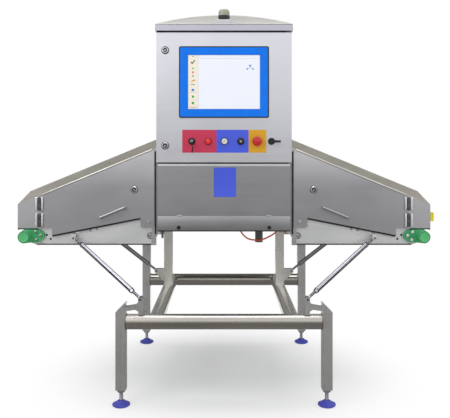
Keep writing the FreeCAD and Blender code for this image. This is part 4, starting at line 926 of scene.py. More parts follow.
@dataclass
class Studio:
    """The pale floor, the white surroundings, the lamps and the camera."""

    camera_place: Point = (0.0, -2.993, 1.002)
    camera_shift: Point = (0.0022, -0.1267)
    focal: float = 52.0
    floor_half: float = 30.0
    clear_radius: float = 0.92
    shadow_radius: float = 0.20
    least_glow: float = 0.22
    floor_dark: Point = (0.86, 0.86, 0.86, 1.0)
    floor_light: Point = (0.87, 0.87, 0.87, 1.0)
    fill_colour: Point = (0.96, 0.98, 1.0, 1.0)
    fill_strength: float = 0.62
    aim: Point = (0.0, 0.0, 0.8)
    card_dark: Point = (0.8, 0.78, 0.74)
    card_light: Point = (1.2, 1.19, 1.16)

    def place_camera(self) -> None:
        """Stand the camera where the photograph was taken from."""
        data = bpy.data.cameras.new("photo_camera")
        data.lens = self.focal
        data.sensor_width = 36.0
        data.dof.use_dof = False
        data.shift_x, data.shift_y = self.camera_shift
        camera = bpy.data.objects.new("photo_camera", data)
        camera.location = self.camera_place
        camera.rotation_euler = (math.radians(90.0), 0.0, 0.0)
        bpy.context.scene.collection.objects.link(camera)
        bpy.context.scene.camera = camera

    def lay_floor(self) -> None:
        """Lay the floor, which fades to plain white away from the machine."""
        deselect()
        bpy.ops.mesh.primitive_plane_add(size=2 * self.floor_half, location=(0.0, 0.0, 0.0))
        floor = added("studio_floor")
        recipe = Recipe("studio_floor_white")
        recipe.constant(Roughness=0.9)
        recipe.shader.inputs["Specular IOR Level"].default_value = 0.0
        tone = recipe.noise(3.0, 2.0)
        recipe.colour(recipe.blend(recipe.ranged(tone, 0.0, 1.0), self.floor_dark, self.floor_light))
        glow = recipe.node("ShaderNodeEmission")
        glow.inputs["Strength"].default_value = 1.0
        length = recipe.node("ShaderNodeVectorMath", operation="LENGTH")
        recipe.join(recipe.place, length.inputs[0])
        fade = recipe.node("ShaderNodeMapRange", interpolation_type="SMOOTHSTEP")
        fade.inputs["From Min"].default_value = self.shadow_radius
        fade.inputs["From Max"].default_value = self.clear_radius
        fade.inputs["To Min"].default_value = self.least_glow
        recipe.join(length.outputs["Value"], fade.inputs["Value"])
        seen = recipe.node("ShaderNodeMath", operation="MULTIPLY")
        recipe.join(fade.outputs["Result"], seen.inputs[0])
        recipe.join(self.seen_ray(recipe.tree), seen.inputs[1])
        mix = recipe.node("ShaderNodeMixShader")
        recipe.join(seen.outputs[0], mix.inputs[0])
        recipe.join(recipe.shader.outputs[0], mix.inputs[1])
        recipe.join(glow.outputs[0], mix.inputs[2])
        recipe.join(mix.outputs[0], recipe.output.inputs["Surface"])
        floor.data.materials.append(recipe.material)

    def seen_ray(self, tree: bpy.types.NodeTree) -> bpy.types.NodeSocket:
        """Return 1 for a ray that shows the surroundings: from the camera, a gloss or a glass."""
        path = tree.nodes.new("ShaderNodeLightPath")
        largest = path.outputs["Is Camera Ray"]
        for name in ("Is Glossy Ray", "Is Transmission Ray"):
            either = tree.nodes.new("ShaderNodeMath")
            either.operation = "MAXIMUM"
            tree.links.new(largest, either.inputs[0])
            tree.links.new(path.outputs[name], either.inputs[1])
            largest = either.outputs[0]
        return largest

    def light(self) -> None:
        """Make the white surroundings and hang the soft lamps."""
        world = bpy.data.worlds.new("white_studio")
        bpy.context.scene.world = world
        world.use_nodes = True
        tree = world.node_tree
        tree.nodes.clear()
        output = tree.nodes.new("ShaderNodeOutputWorld")
        shown, fill = (tree.nodes.new("ShaderNodeBackground") for _ in range(2))
        shown.inputs["Strength"].default_value = 1.0
        shown.inputs["Color"].default_value = (1.0, 1.0, 1.0, 1.0)
        fill.inputs["Color"].default_value = self.fill_colour
        fill.inputs["Strength"].default_value = self.fill_strength
        mix = tree.nodes.new("ShaderNodeMixShader")
        tree.links.new(self.seen_ray(tree), mix.inputs[0])
        tree.links.new(fill.outputs[0], mix.inputs[1])
        tree.links.new(shown.outputs[0], mix.inputs[2])
        tree.links.new(mix.outputs[0], output.inputs["Surface"])
        lamps = (
            ("key_lamp", (-2.2, -2.6, 3.0), 1.8, 34.0),
            ("fill_lamp", (2.9, -1.9, 2.2), 1.6, 16.0),
            ("top_lamp", (0.0, 0.2, 3.6), 2.2, 42.0),
        )
        for name, place, size, power in lamps:
            data = bpy.data.lights.new(name, "AREA")
            data.size = size
            data.energy = power
            lamp = bpy.data.objects.new(name, data)
            lamp.location = place
            line = Vector(self.aim) - Vector(place)
            lamp.rotation_euler = line.to_track_quat("-Z", "Y").to_euler()
            lamp.visible_camera = False
            bpy.context.scene.collection.objects.link(lamp)
        bpy.context.scene.view_settings.view_transform = "Standard"

    def hang_card(self, name: str, place: Point, size: Point, turn: Point, tone: float) -> None:
        """Hang a dark card that only shows in the polished metal.

        Args:
            name: The card's name.
            place: The middle of the card.
            size: Its width and height.
            turn: Its turn from lying flat, in degrees.
            tone: Its brightness, from 0 to 1.
        """
        deselect()
        bpy.ops.mesh.primitive_plane_add(
            size=1.0, location=place, rotation=[math.radians(angle) for angle in turn]
        )
        card = added(name)
        card.scale = (size[0], size[1], 1.0)
        settle(card)
        recipe = Recipe(name + "_cloth")
        cloth = recipe.noise(1.3, 2.0)
        glow = recipe.node("ShaderNodeEmission")
        recipe.join(
            recipe.blend(
                recipe.ranged(cloth, 0.0, 1.0), shade(self.card_dark, tone), shade(self.card_light, tone)
            ),
            glow.inputs["Color"],
        )
        recipe.join(glow.outputs[0], recipe.output.inputs["Surface"])
        card.data.materials.append(recipe.material)
        for ray in ("camera", "diffuse", "transmission", "shadow", "volume_scatter"):
            setattr(card, "visible_" + ray, False)

    def build(self) -> None:
        """Set up the whole studio."""
        self.place_camera()
        self.lay_floor()
        self.light()
        cards = (
            ("left_card", (-2.7, -1.9, 1.1), (3.0, 2.4), (90.0, 0.0, 60.0), 0.05),
            ("right_card", (2.7, -1.9, 1.1), (3.0, 2.4), (90.0, 0.0, -60.0), 0.05),
            ("ceiling_card", (0.0, 1.9, 3.0), (6.0, 3.0), (0.0, 0.0, 0.0), 0.12),
            ("room_card", (0.0, -4.4, 0.55), (5.0, 1.5), (90.0, 0.0, 0.0), 0.36),
            ("rear_card", (0.0, 2.7, 1.1), (6.0, 2.6), (90.0, 0.0, 0.0), 0.28),
            ("floor_card", (0.0, -1.6, 0.004), (5.0, 5.2), (0.0, 0.0, 0.0), 0.24),
        )
        for card in cards:
            self.hang_card(*card)


# Cable under the head


@dataclass
class OrangeCable:
    """The orange cable that loops under the head between its two glands."""

    route: Sequence[Point] = (
        (0.074, 0.0, 0.661),
        (0.074, 0.0, 0.641),
        (0.087, 0.0, 0.621),
        (0.114, 0.0, 0.598),
        (0.173, 0.0, 0.595),
        (0.219, 0.0, 0.618),
        (0.240, 0.0, 0.633),
        (0.2485, 0.0, 0.648),
        (0.2485, 0.0, 0.661),
    )
    diameter: float = 0.007
    length: float = 0.238
    relief_radius: float = 0.0062
    relief_top: float = 0.004
    relief_steps: Sequence[Point] = (
        (0.004, 0.9),
        (0.001, 0.84),
        (0.005, 0.94),
        (0.001, 0.86),
        (0.005, 0.94),
    )

    def build_cord(self) -> bpy.types.Object:
        """Draw the cable on its smooth line, and return it."""
        data = bpy.data.curves.new("orange_loop", "CURVE")
        data.dimensions = "3D"
        data.resolution_u = 16
        data.bevel_depth = self.diameter / 2
        data.bevel_resolution = 6
        data.use_fill_caps = True
        spline = data.splines.new("NURBS")
        spline.points.add(len(self.route) - 1)
        for point, place in zip(spline.points, self.route):
            point.co = (*place, 1.0)
        spline.order_u = 3
        spline.use_endpoint_u = True
        piece = bpy.data.objects.new("orange_loop", data)
        bpy.context.scene.collection.objects.link(piece)
        return piece

    def build_relief(self, name: str, place: Point) -> bpy.types.Object:
        """Model the tapered sleeve where the cable leaves a gland.

        Args:
            name: The sleeve's name.
            place: The point where the cable leaves.

        Returns:
            The sleeve.
        """
        x, y, z = place
        middle = (x, y, z - self.relief_top / 2)
        sleeve = disc(name, middle, self.relief_radius, self.relief_top, Axis.Z, 32)
        with editing(sleeve):
            pick_faces(sleeve, lambda face: face.normal.z < -FACING)
            for step, share in self.relief_steps:
                bpy.ops.mesh.extrude_region_move(TRANSFORM_OT_translate={"value": (0.0, 0.0, -step)})
                bpy.ops.transform.resize(value=(share, share, 1.0), center_override=(x, y, z))
        soften(sleeve, 0.0003, 2)
        return sleeve

    def build(self) -> None:
        """Make the cable with its two sleeves, and say how it hangs."""
        cord = self.build_cord()
        reliefs = [
            mount(self.build_relief("relief_left", self.route[0]), FIXED, PLASTIC_BLACK),
            mount(self.build_relief("relief_right", self.route[-1]), FIXED, PLASTIC_BLACK),
        ]
        cord.data.materials.append(CABLE_ORANGE.make())
        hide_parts("orange_cable")
        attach(cord, FIXED)
        LOG.info("orange_loop on %s: %.3f m", FIXED, self.length)


# Stand and stays


@dataclass
class Stand:
    """The welded stand: four legs, two bars, two rails, two posts and the levelling feet."""

    leg_x: float = 0.406
    leg_y: float = 0.425
    bar_end: float = 0.386
    bar_height: float = 0.332
    bar_radius: float = 0.030
    thread_low: float = 0.0245
    thread_high: float = 0.0555
    pitch: float = 0.0022
    spindle_radius: float = 0.007
    thread_thick: float = 0.0008
    core_radius: float = 0.00715
    core_high: float = 0.0668
    washer_z: float = 0.05585
    washer_radius: float = 0.0145
    washer_thick: float = 0.0013
    nut_z: float = 0.0612
    nut_radius: float = 0.0163
    nut_height: float = 0.0094
    bead_radius: float = 0.0019
    bead_ripples: int = 48

    def dress(self) -> None:
        """Give the stand's CAD nodes their steel."""
        for side in Side:
            dress(LEG_TUBE, "front_leg_" + side.word, "rear_leg_" + side.word)
            dress(RAIL_TUBE, "side_rail_" + side.word)
            dress(POST_TUBE, "inner_post_" + side.word)
            for end in ("front", "rear"):
                dress(PAD_BLUE, "levelling_foot_%s_%s" % (end, side.word))
        dress(BAR_TUBE, "front_cross_bar", "rear_cross_bar")
        dress(HOUSING_SHEET, "rear_head_beam")

    def build_spindle(self, name: str, x: float, y: float) -> bpy.types.Object:
        """Model the threaded sleeve of a foot's spindle, with its washer.

        Args:
            name: The piece's name.
            x: The foot's place across the machine.
            y: The foot's place along its depth.

        Returns:
            The threaded spindle's skin.
        """
        start = (x, y, self.thread_low)
        turn = ring(name + "_turn", start, self.spindle_radius, self.thread_thick, Axis.Z, 28, 6)
        count = int((self.thread_high - self.thread_low) / self.pitch)
        apply_modifier(
            turn,
            "ARRAY",
            count=count,
            use_relative_offset=False,
            use_constant_offset=True,
            constant_offset_displace=(0.0, 0.0, self.pitch),
        )
        bpy.ops.object.shade_smooth()
        core_low = self.thread_low - 0.002
        core_middle = (x, y, (core_low + self.core_high) / 2)
        core = disc(name + "_core", core_middle, self.core_radius, self.core_high - core_low, Axis.Z, 40)
        soften(core, 0.0003)
        washer_middle = (x, y, self.washer_z)
        washer = disc(name + "_washer", washer_middle, self.washer_radius, self.washer_thick, Axis.Z, 40)
        soften(washer, 0.0003)
        return join(name, turn, core, washer)

    def build_nut(self, name: str, x: float, y: float) -> bpy.types.Object:
        """Model the chamfered nut over a foot's lock nut, and return it."""
        nut = disc(name, (x, y, self.nut_z), self.nut_radius, self.nut_height, Axis.Z, 6)
        bevel_edges(nut, lambda edge: reach(edge, 2) < 1e-5, 0.0012, 2)
        soften(nut, 0.0003)
        return nut

    def build_bead(self, name: str, x: float, y: float) -> bpy.types.Object:
        """Model the weld bead round a cross bar where it meets a leg.

        Args:
            name: The bead's name.
            x: The bead's place across the machine.
            y: The bar's place along the depth.

        Returns:
            The bead, with the ripples of the weld.
        """
        middle = (x, y, self.bar_height)
        bead = ring(name, middle, self.bar_radius + 0.0006, self.bead_radius, Axis.X, 96, 8)

        def on_ripple(vertex: bmesh.types.BMVert) -> bool:
            """Take every other stretch of the bead."""
            angle = math.atan2(vertex.co.z - self.bar_height, vertex.co.y - y)
            return int((angle + math.pi) / (2 * math.pi) * self.bead_ripples) % 2 == 0

        with editing(bead, "VERT"):
            pick_vertices(bead, on_ripple)
            bpy.ops.transform.resize(value=(1.25, 1.006, 1.006), center_override=middle)
        select(bead)
        bpy.ops.object.shade_smooth()
        return bead

    def build(self) -> None:
        """Build the feet's threads and nuts, and the weld beads."""
        self.dress()
        for side in Side:
            for end, y in (("front", -self.leg_y), ("rear", self.leg_y)):
                x = side.value * self.leg_x
                place = "%s_%s" % (end, side.word)
                foot = "levelling_foot_" + place
                mount(self.build_spindle("foot_thread_" + place, x, y), foot, FITTING_STEEL)
                mount(self.build_nut("foot_nut_" + place, x, y), foot, FITTING_STEEL)
                mount(self.build_bead("bar_weld_" + place, side.value * self.bar_end, y), FIXED, WELD)


@dataclass
class Stays:
    """The four turnbuckle stays, with the threads of their rod ends."""

    front: Sequence[Point] = ((0.329, -0.425, 0.422), (0.640, -0.217, 0.636))
    rear: Sequence[Point] = ((0.329, 0.192, 0.422), (0.602, 0.187, 0.636))
    rod_radius: float = 0.005
    thread_thick: float = 0.0008
    ferrule_radius: float = 0.0112
    ferrule_length: float = 0.006
    clear_of_eye: float = 0.016
    clear_of_nut: float = 0.008
    neck: float = 0.055
    pitch: float = 0.0021

    def build_thread(self, name: str, start: Point, end: Point) -> bpy.types.Object:
        """Model the thread on the rod at one end of a stay.

        Args:
            name: The piece's name.
            start: The middle of the eye at that end.
            end: The middle of the eye at the other end.

        Returns:
            The thread's turns along the rod.
        """
        run = Vector(end) - Vector(start)
        along = run.normalized()
        first = Vector(start) + along * self.clear_of_eye
        count = int((self.neck - self.clear_of_eye - self.clear_of_nut) / self.pitch)
        deselect()
        bpy.ops.mesh.primitive_torus_add(
            location=first,
            rotation=run.to_track_quat("Z", "Y").to_euler(),
            major_segments=20,
            minor_segments=6,
            major_radius=self.rod_radius,
            minor_radius=self.thread_thick,
        )
        thread = added(name)
        apply_modifier(
            thread,
            "ARRAY",
            count=count,
            use_relative_offset=False,
            use_constant_offset=True,
            constant_offset_displace=(0.0, 0.0, self.pitch),
        )
        bpy.ops.object.shade_smooth()
        settle(thread)
        return thread

    def build_ferrule(self, name: str, start: Point, end: Point) -> bpy.types.Object:
        """Model the round ferrule that closes one end of a turnbuckle's tube.

        Args:
            name: The piece's name.
            start: The middle of the eye at that end.
            end: The middle of the eye at the other end.

        Returns:
            The ferrule.
        """
        run = Vector(end) - Vector(start)
        deselect()
        bpy.ops.mesh.primitive_cylinder_add(
            vertices=40,
            radius=self.ferrule_radius,
            depth=self.ferrule_length,
            location=Vector(start) + run.normalized() * (self.neck + 0.004),
            rotation=run.to_track_quat("Z", "Y").to_euler(),
        )
        ferrule = added(name)
        settle(ferrule)
        soften(ferrule, 0.0012, 3)
        return ferrule

    def build(self) -> None:
        """Dress the stays and thread both ends of each."""
        for side in Side:
            for row, (low, high) in (("front", self.front), ("rear", self.rear)):
                dress(STAY_STEEL, "stay_%s_%s" % (row, side.word))
                lower, upper = [(side.value * x, y, z) for x, y, z in (low, high)]
                place = "%s_%s" % (row, side.word)
                parts = [
                    self.build_thread("stay_thread_low_" + place, lower, upper),
                    self.build_thread("stay_thread_high_" + place, upper, lower),
                    self.build_ferrule("stay_ferrule_low_" + place, lower, upper),
                    self.build_ferrule("stay_ferrule_high_" + place, upper, lower),
                ]
                mount(join("stay_threads_" + place, *parts), FIXED, STAY_STEEL)


# Inspection head and cabinet


@dataclass
class InspectionHead:
    """The shielded box over the belt, with its front panel and what is fastened to it."""

    panel_y: float = -0.225
    half_width: float = 0.283
    bottom: float = 0.668
    fold: float = 0.728
    hem_heights: Sequence[float] = (0.9404, 0.9516)
    plate: Sequence[float] = (-0.0434, 0.0511, 0.8104, 0.9360)
    screw_x: float = 0.193
    screw_z: float = 0.680
    clip_x: float = 0.190
    clip_z: float = 0.7295
    # The size of the black strip that paints the shade in the gap under the cabinet's door.
    strip_half: float = 0.2835
    strip_depths: Sequence[float] = (-0.2212, -0.2132)
    strip_heights: Sequence[float] = (0.9526, 0.9571)

    def build_cover(self) -> bpy.types.Object:
        """Model the narrow cover along the panel's lower edge, and return it."""
        low = (-self.half_width + 0.0005, self.panel_y - 0.0012, self.bottom + 0.0008)
        high = (self.half_width - 0.0005, self.panel_y + 0.0002, self.fold)
        cover = block("panel_lower_cover", low, high)

        def upper_front(edge: bmesh.types.BMEdge) -> bool:
            """Take the upper edge of the cover's front."""
            return all(v.co.y < self.panel_y - 0.001 and v.co.z > self.fold - 0.001 for v in edge.verts)

        bevel_edges(cover, upper_front, 0.0008, 3)
        soften(cover, 0.0003)
        return cover

    def build_top_hem(self) -> bpy.types.Object:
        """Model the folded hem along the panel's upper edge, bright with a painted highlight, and return it.
        """
        hem = block(
            "panel_top_hem",
            (-self.half_width + 0.0010, self.panel_y - 0.0016, self.hem_heights[0]),
            (self.half_width - 0.0010, self.panel_y + 0.0002, self.hem_heights[1]),
        )
        bevel_edges(hem, in_front_of(self.panel_y - 0.0014), 0.0009, 4)
        soften(hem, 0.0003)
        return hem

    def build_sill_strip(self) -> bpy.types.Object:
        """Model the dark strip in the gap under the cabinet's door, a painted shade, and return it."""
        (front, rear), (low, high) = self.strip_depths, self.strip_heights
        strip = block("door_sill_strip", (-self.strip_half, front, low), (self.strip_half, rear, high))
        bevel_edges(strip, in_front_of(-0.2210), 0.0012, 3)
        soften(strip, 0.0003)
        return strip

    def build_blank_plate(self) -> bpy.types.Object:
        """Model the bare coloured plate in the middle of the panel, and return it."""
        left, right, low, high = self.plate
        plate = block(
            "panel_blank_plate", (left, self.panel_y - 0.0012, low), (right, self.panel_y + 0.0002, high)
        )
        with editing(plate):
            pick_faces(plate, faces_front)
            bpy.ops.mesh.inset(thickness=0.0015, depth=0.0)
            bpy.ops.mesh.inset(thickness=0.0006, depth=-0.0002)
        bevel_edges(plate, lambda edge: reach(edge, 1) > 0.0008 and reach(edge, 0) < 1e-6, 0.003, 4)
        soften(plate, 0.0002)
        return plate

    def build_screw(self, name: str, x: float) -> bpy.types.Object:
        """Model a button-head socket screw with its washer, low on the panel.

        Args:
            name: The screw's name.
            x: Its place across the panel.

        Returns:
            The screw.
        """
        front = self.panel_y - 0.0012
        washer = disc(name + "_washer", (x, front - 0.0006, self.screw_z), 0.0085, 0.0012, Axis.Y, 40)
        soften(washer, 0.0003)
        head = disc(name + "_head", (x, front - 0.0034, self.screw_z), 0.0062, 0.0046, Axis.Y, 40)
        dish(head, 0.0032, 0.0025)
        soften(head, 0.0007, 3)
        return join(name, washer, head)

    def build_clip(self, name: str, x: float) -> bpy.types.Object:
        """Model the small bright spring clip on the fold above a screw.

        Args:
            name: The clip's name.
            x: Its place across the panel.

        Returns:
            The clip.
        """
        front, level = self.panel_y, self.clip_z
        clip = block(name, (x - 0.011, front - 0.0030, level - 0.002), (x + 0.011, front, level + 0.0035))

        def lower_front(edge: bmesh.types.BMEdge) -> bool:
            """Take the lower edge of the clip's front."""
            return all(vertex.co.y < front - 0.002 and vertex.co.z < level for vertex in edge.verts)

        bevel_edges(clip, lower_front, 0.0022, 4)
        with editing(clip, "VERT"):
            pick_vertices(clip, lambda vertex: vertex.co.z < level)
            bpy.ops.transform.resize(value=(0.45, 1.0, 1.0), center_override=(x, front, level))
        soften(clip, 0.0004)
        return clip

    def build_drip_seal(self) -> bpy.types.Object:
        """Model the dark rubber strip under the panel's lower edge, and return it."""
        low = (-self.half_width + 0.002, self.panel_y + 0.0002, self.bottom - 0.0050)
        high = (self.half_width - 0.002, self.panel_y + 0.0110, self.bottom + 0.0002)
        seal = block("panel_drip_seal", low, high)
        lowest = self.bottom - 0.004
        bevel_edges(seal, lambda edge: all(v.co.z < lowest for v in edge.verts), 0.0012, 3)
        soften(seal, 0.0003)
        return seal

    def build(self) -> None:
        """Dress the head and fasten its pieces."""
        dress(HOUSING_SHEET, "inspection_housing")
        dress(PANEL_SHEET, "front_panel")
        dress(GLAND_GREY, "cable_glands")
        mount(self.build_cover(), FIXED, COVER_SHEET)
        # The hem in a much lighter copy of the panel steel: a painted highlight on the fold.
        mount(self.build_top_hem(), FIXED, HEM_HIGHLIGHT_SHEET)
        # A black strip in the gap under the cabinet's door: painted shade.
        mount(self.build_sill_strip(), FIXED, RUBBER_BLACK)
        mount(self.build_drip_seal(), FIXED, RUBBER_BLACK)
        mount(self.build_blank_plate(), FIXED, LEGEND_VIOLET)
        for side in Side:
            screw = self.build_screw("panel_screw_" + side.word, side.value * self.screw_x)
            mount(screw, FIXED, PLASTIC_BLACK)
            clip = self.build_clip("panel_clip_" + side.word, side.value * self.clip_x)
            mount(clip, FIXED, LOCK_STEEL)


@dataclass
class Cabinet:
    """The upper cabinet with its roof and beacon."""

    beacon_y: float = -0.216
    collar_low: float = 1.5640
    collar_high: float = 1.5835
    collar_radius: float = 0.0248
    collar_sides: int = 72
    skirt_half: float = 0.042
    skirt_depths: Sequence[float] = (-0.2500, -0.1820)
    skirt_heights: Sequence[float] = (1.5437, 1.5600)
    hem: Point = (0.0, -0.2532, 1.5405)
    hem_radius: float = 0.0022
    hem_length: float = 0.578
    screw_x: float = 0.0225
    screw_y: float = -0.2405
    screw_z: float = 1.5640
    seal_z: float = 1.5085
    roof_bottom: float = 1.5138
    seal_half: float = 0.262

    def build_collar(self) -> bpy.types.Object:
        """Model the beacon's black grip collar, with its flutes, and return it."""
        middle = (0.0, self.beacon_y, (self.collar_low + self.collar_high) / 2)
        height = self.collar_high - self.collar_low
        collar = disc("beacon_collar", middle, self.collar_radius, height, Axis.Z, self.collar_sides)

        def on_flute(edge: bmesh.types.BMEdge) -> bool:
            """Take every third upright edge."""
            place = edge.verts[0].co
            turn = (math.atan2(place.y - self.beacon_y, place.x) + math.pi) / (2 * math.pi)
            return reach(edge, 2) > 0.001 and int(turn * self.collar_sides + 0.5) % 3 == 0

        with editing(collar, "EDGE"):
            pick_edges(collar, on_flute)
            bpy.ops.mesh.bevel(offset=0.0006, segments=1)
            bpy.ops.transform.resize(value=(0.972, 0.972, 1.0), center_override=middle)
        soften(collar, 0.0006)
        return collar

    def build_roof_seal(self) -> bpy.types.Object:
        """Model the dark strip under the roof's rim, painted shade in the gap there, and return it."""
        low = (-self.seal_half - 0.022, -0.2385, self.seal_z)
        high = (self.seal_half, -0.2165, self.roof_bottom)
        seal = block("roof_seal", low, high)
        bevel_edges(seal, in_front_of(-0.238), 0.0012, 2)
        soften(seal, 0.0003)
        return seal

    def build_skirt(self) -> bpy.types.Object:
        """Model the folded skirt that carries the beacon's wedge on the sloping roof, and return it."""
        (front, rear), (low, high) = self.skirt_depths, self.skirt_heights
        skirt = block("beacon_skirt", (-self.skirt_half, front, low), (self.skirt_half, rear, high))
        with editing(skirt, "VERT"):
            pick_vertices(skirt, lambda vertex: vertex.co.z < 1.55 and vertex.co.y > rear - 0.001)
            bpy.ops.transform.translate(value=(0.0, 0.0, 0.0160))
            pick_vertices(skirt, lambda vertex: vertex.co.z > 1.5598)
            bpy.ops.transform.resize(value=(0.68, 0.93, 1.0), center_override=(0.0, self.beacon_y, high))
        soften(skirt, 0.0008, 3)
        return skirt

    def build_rim_trim(self) -> bpy.types.Object:
        """Model the bright folded hem along the top of the roof's rim, and return it."""
        trim = disc("roof_hem", self.hem, self.hem_radius, self.hem_length, Axis.X, 24)
        soften(trim, 0.0008, 3)
        return trim

    def build_base_screws(self) -> bpy.types.Object:
        """Model the two screws that hold the beacon's wedge, and return them."""
        heads = []
        for index, x in enumerate((-self.screw_x, self.screw_x)):
            place = (x, self.screw_y, self.screw_z)
            head = disc("beacon_screw_%d" % index, place, 0.0026, 0.0022, Axis.Z, 24)
            soften(head, 0.0006, 3)
            heads.append(head)
        return join("beacon_screws", *heads)

    def build(self) -> None:
        """Dress the cabinet and build its small pieces."""
        dress(CABINET_SHEET, "cabinet_shell")
        dress(ROOF_SHEET, "roof")
        dress(FITTING_STEEL, "beacon_base")
        dress(BEACON_DOME, "beacon_lens")
        mount(self.build_collar(), FIXED, PLASTIC_BLACK)
        # A black strip under the roof's rim: painted shade in the gap.
        mount(self.build_roof_seal(), FIXED, RUBBER_BLACK)
        mount(self.build_base_screws(), FIXED, FITTING_STEEL)
        mount(self.build_skirt(), FIXED, FITTING_STEEL)
        mount(self.build_rim_trim(), FIXED, BAR_TUBE)


@dataclass
class CabinetDoor:
    """The cabinet's door: its seal, its lock washers and its coloured legend plates."""

    front_y: float = -0.240
    back_y: float = -0.218
    half_width: float = 0.287
    bottom: float = 0.958
    top: float = 1.508
    seal_width: float = 0.012
    lock_x: float = -0.249
    lock_front: float = -0.247
    lock_levels: Sequence[float] = (1.433, 1.029)
    legend_low: float = 0.999
    legend_high: float = 1.096
    legend_edges: Sequence[float] = (-0.177, -0.032, 0.104, 0.179)

    def build_seal(self) -> bpy.types.Object:
        """Model the rubber seal round the back of the door, and return it."""
        low = (-self.half_width + 0.0025, self.back_y - 0.0008, self.bottom + 0.0025)
        high = (self.half_width - 0.0025, self.back_y + 0.0016, self.top - 0.0025)
        seal = block("door_seal", low, high)
        bore(seal, self.seal_width)
        soften(seal, 0.0005)
        return seal

    def build_legend(self, name: str, left: float, right: float) -> bpy.types.Object:
        """Model one coloured plate of the legend strip, which stays bare.

        Args:
            name: The plate's name.
            left: Its left edge.
            right: Its right edge.

        Returns:
            The plate.
        """
        low = (left, self.front_y - 0.0008, self.legend_low)
        plate = block(name, low, (right, self.front_y + 0.0002, self.legend_high))
        with editing(plate):
            pick_faces(plate, faces_front)
            bpy.ops.mesh.inset(thickness=0.0008, depth=0.0)
        soften(plate, 0.0003)
        return plate

    def build_washer(self, name: str, z: float) -> bpy.types.Object:
        """Model the dark washer under a lock's head, and return it."""
        washer = disc(name, (self.lock_x, self.front_y - 0.0002, z), 0.0168, 0.0014, Axis.Y, 56)
        bore(washer, 0.0070)
        soften(washer, 0.0003)
        return washer

    def build(self) -> None:
        """Dress the door and fasten its pieces."""
        dress(DOOR_SHEET, "cabinet_door")
        dress(LOCK_STEEL, "door_lock_upper", "door_lock_lower")
        mount(self.build_seal(), DOOR, RUBBER_BLACK)
        names = ("legend_crimson_plate", "legend_violet_plate", "legend_gold_plate")
        finishes = (LEGEND_CRIMSON, LEGEND_VIOLET, LEGEND_GOLD)
        for name, finish, left, right in zip(names, finishes, self.legend_edges, self.legend_edges[1:]):
            mount(self.build_legend(name, left, right), DOOR, finish)
        for level, z in zip(("upper", "lower"), self.lock_levels):
            mount(self.build_washer("lock_washer_" + level, z), DOOR, RUBBER_BLACK)
            lock = "door_lock_" + level
            cup, core = lock_insert("lock_" + level, (self.lock_x, self.lock_front, z))
            mount(cup, lock, PLASTIC_BLACK)
            mount(core, lock, LOCK_STEEL)


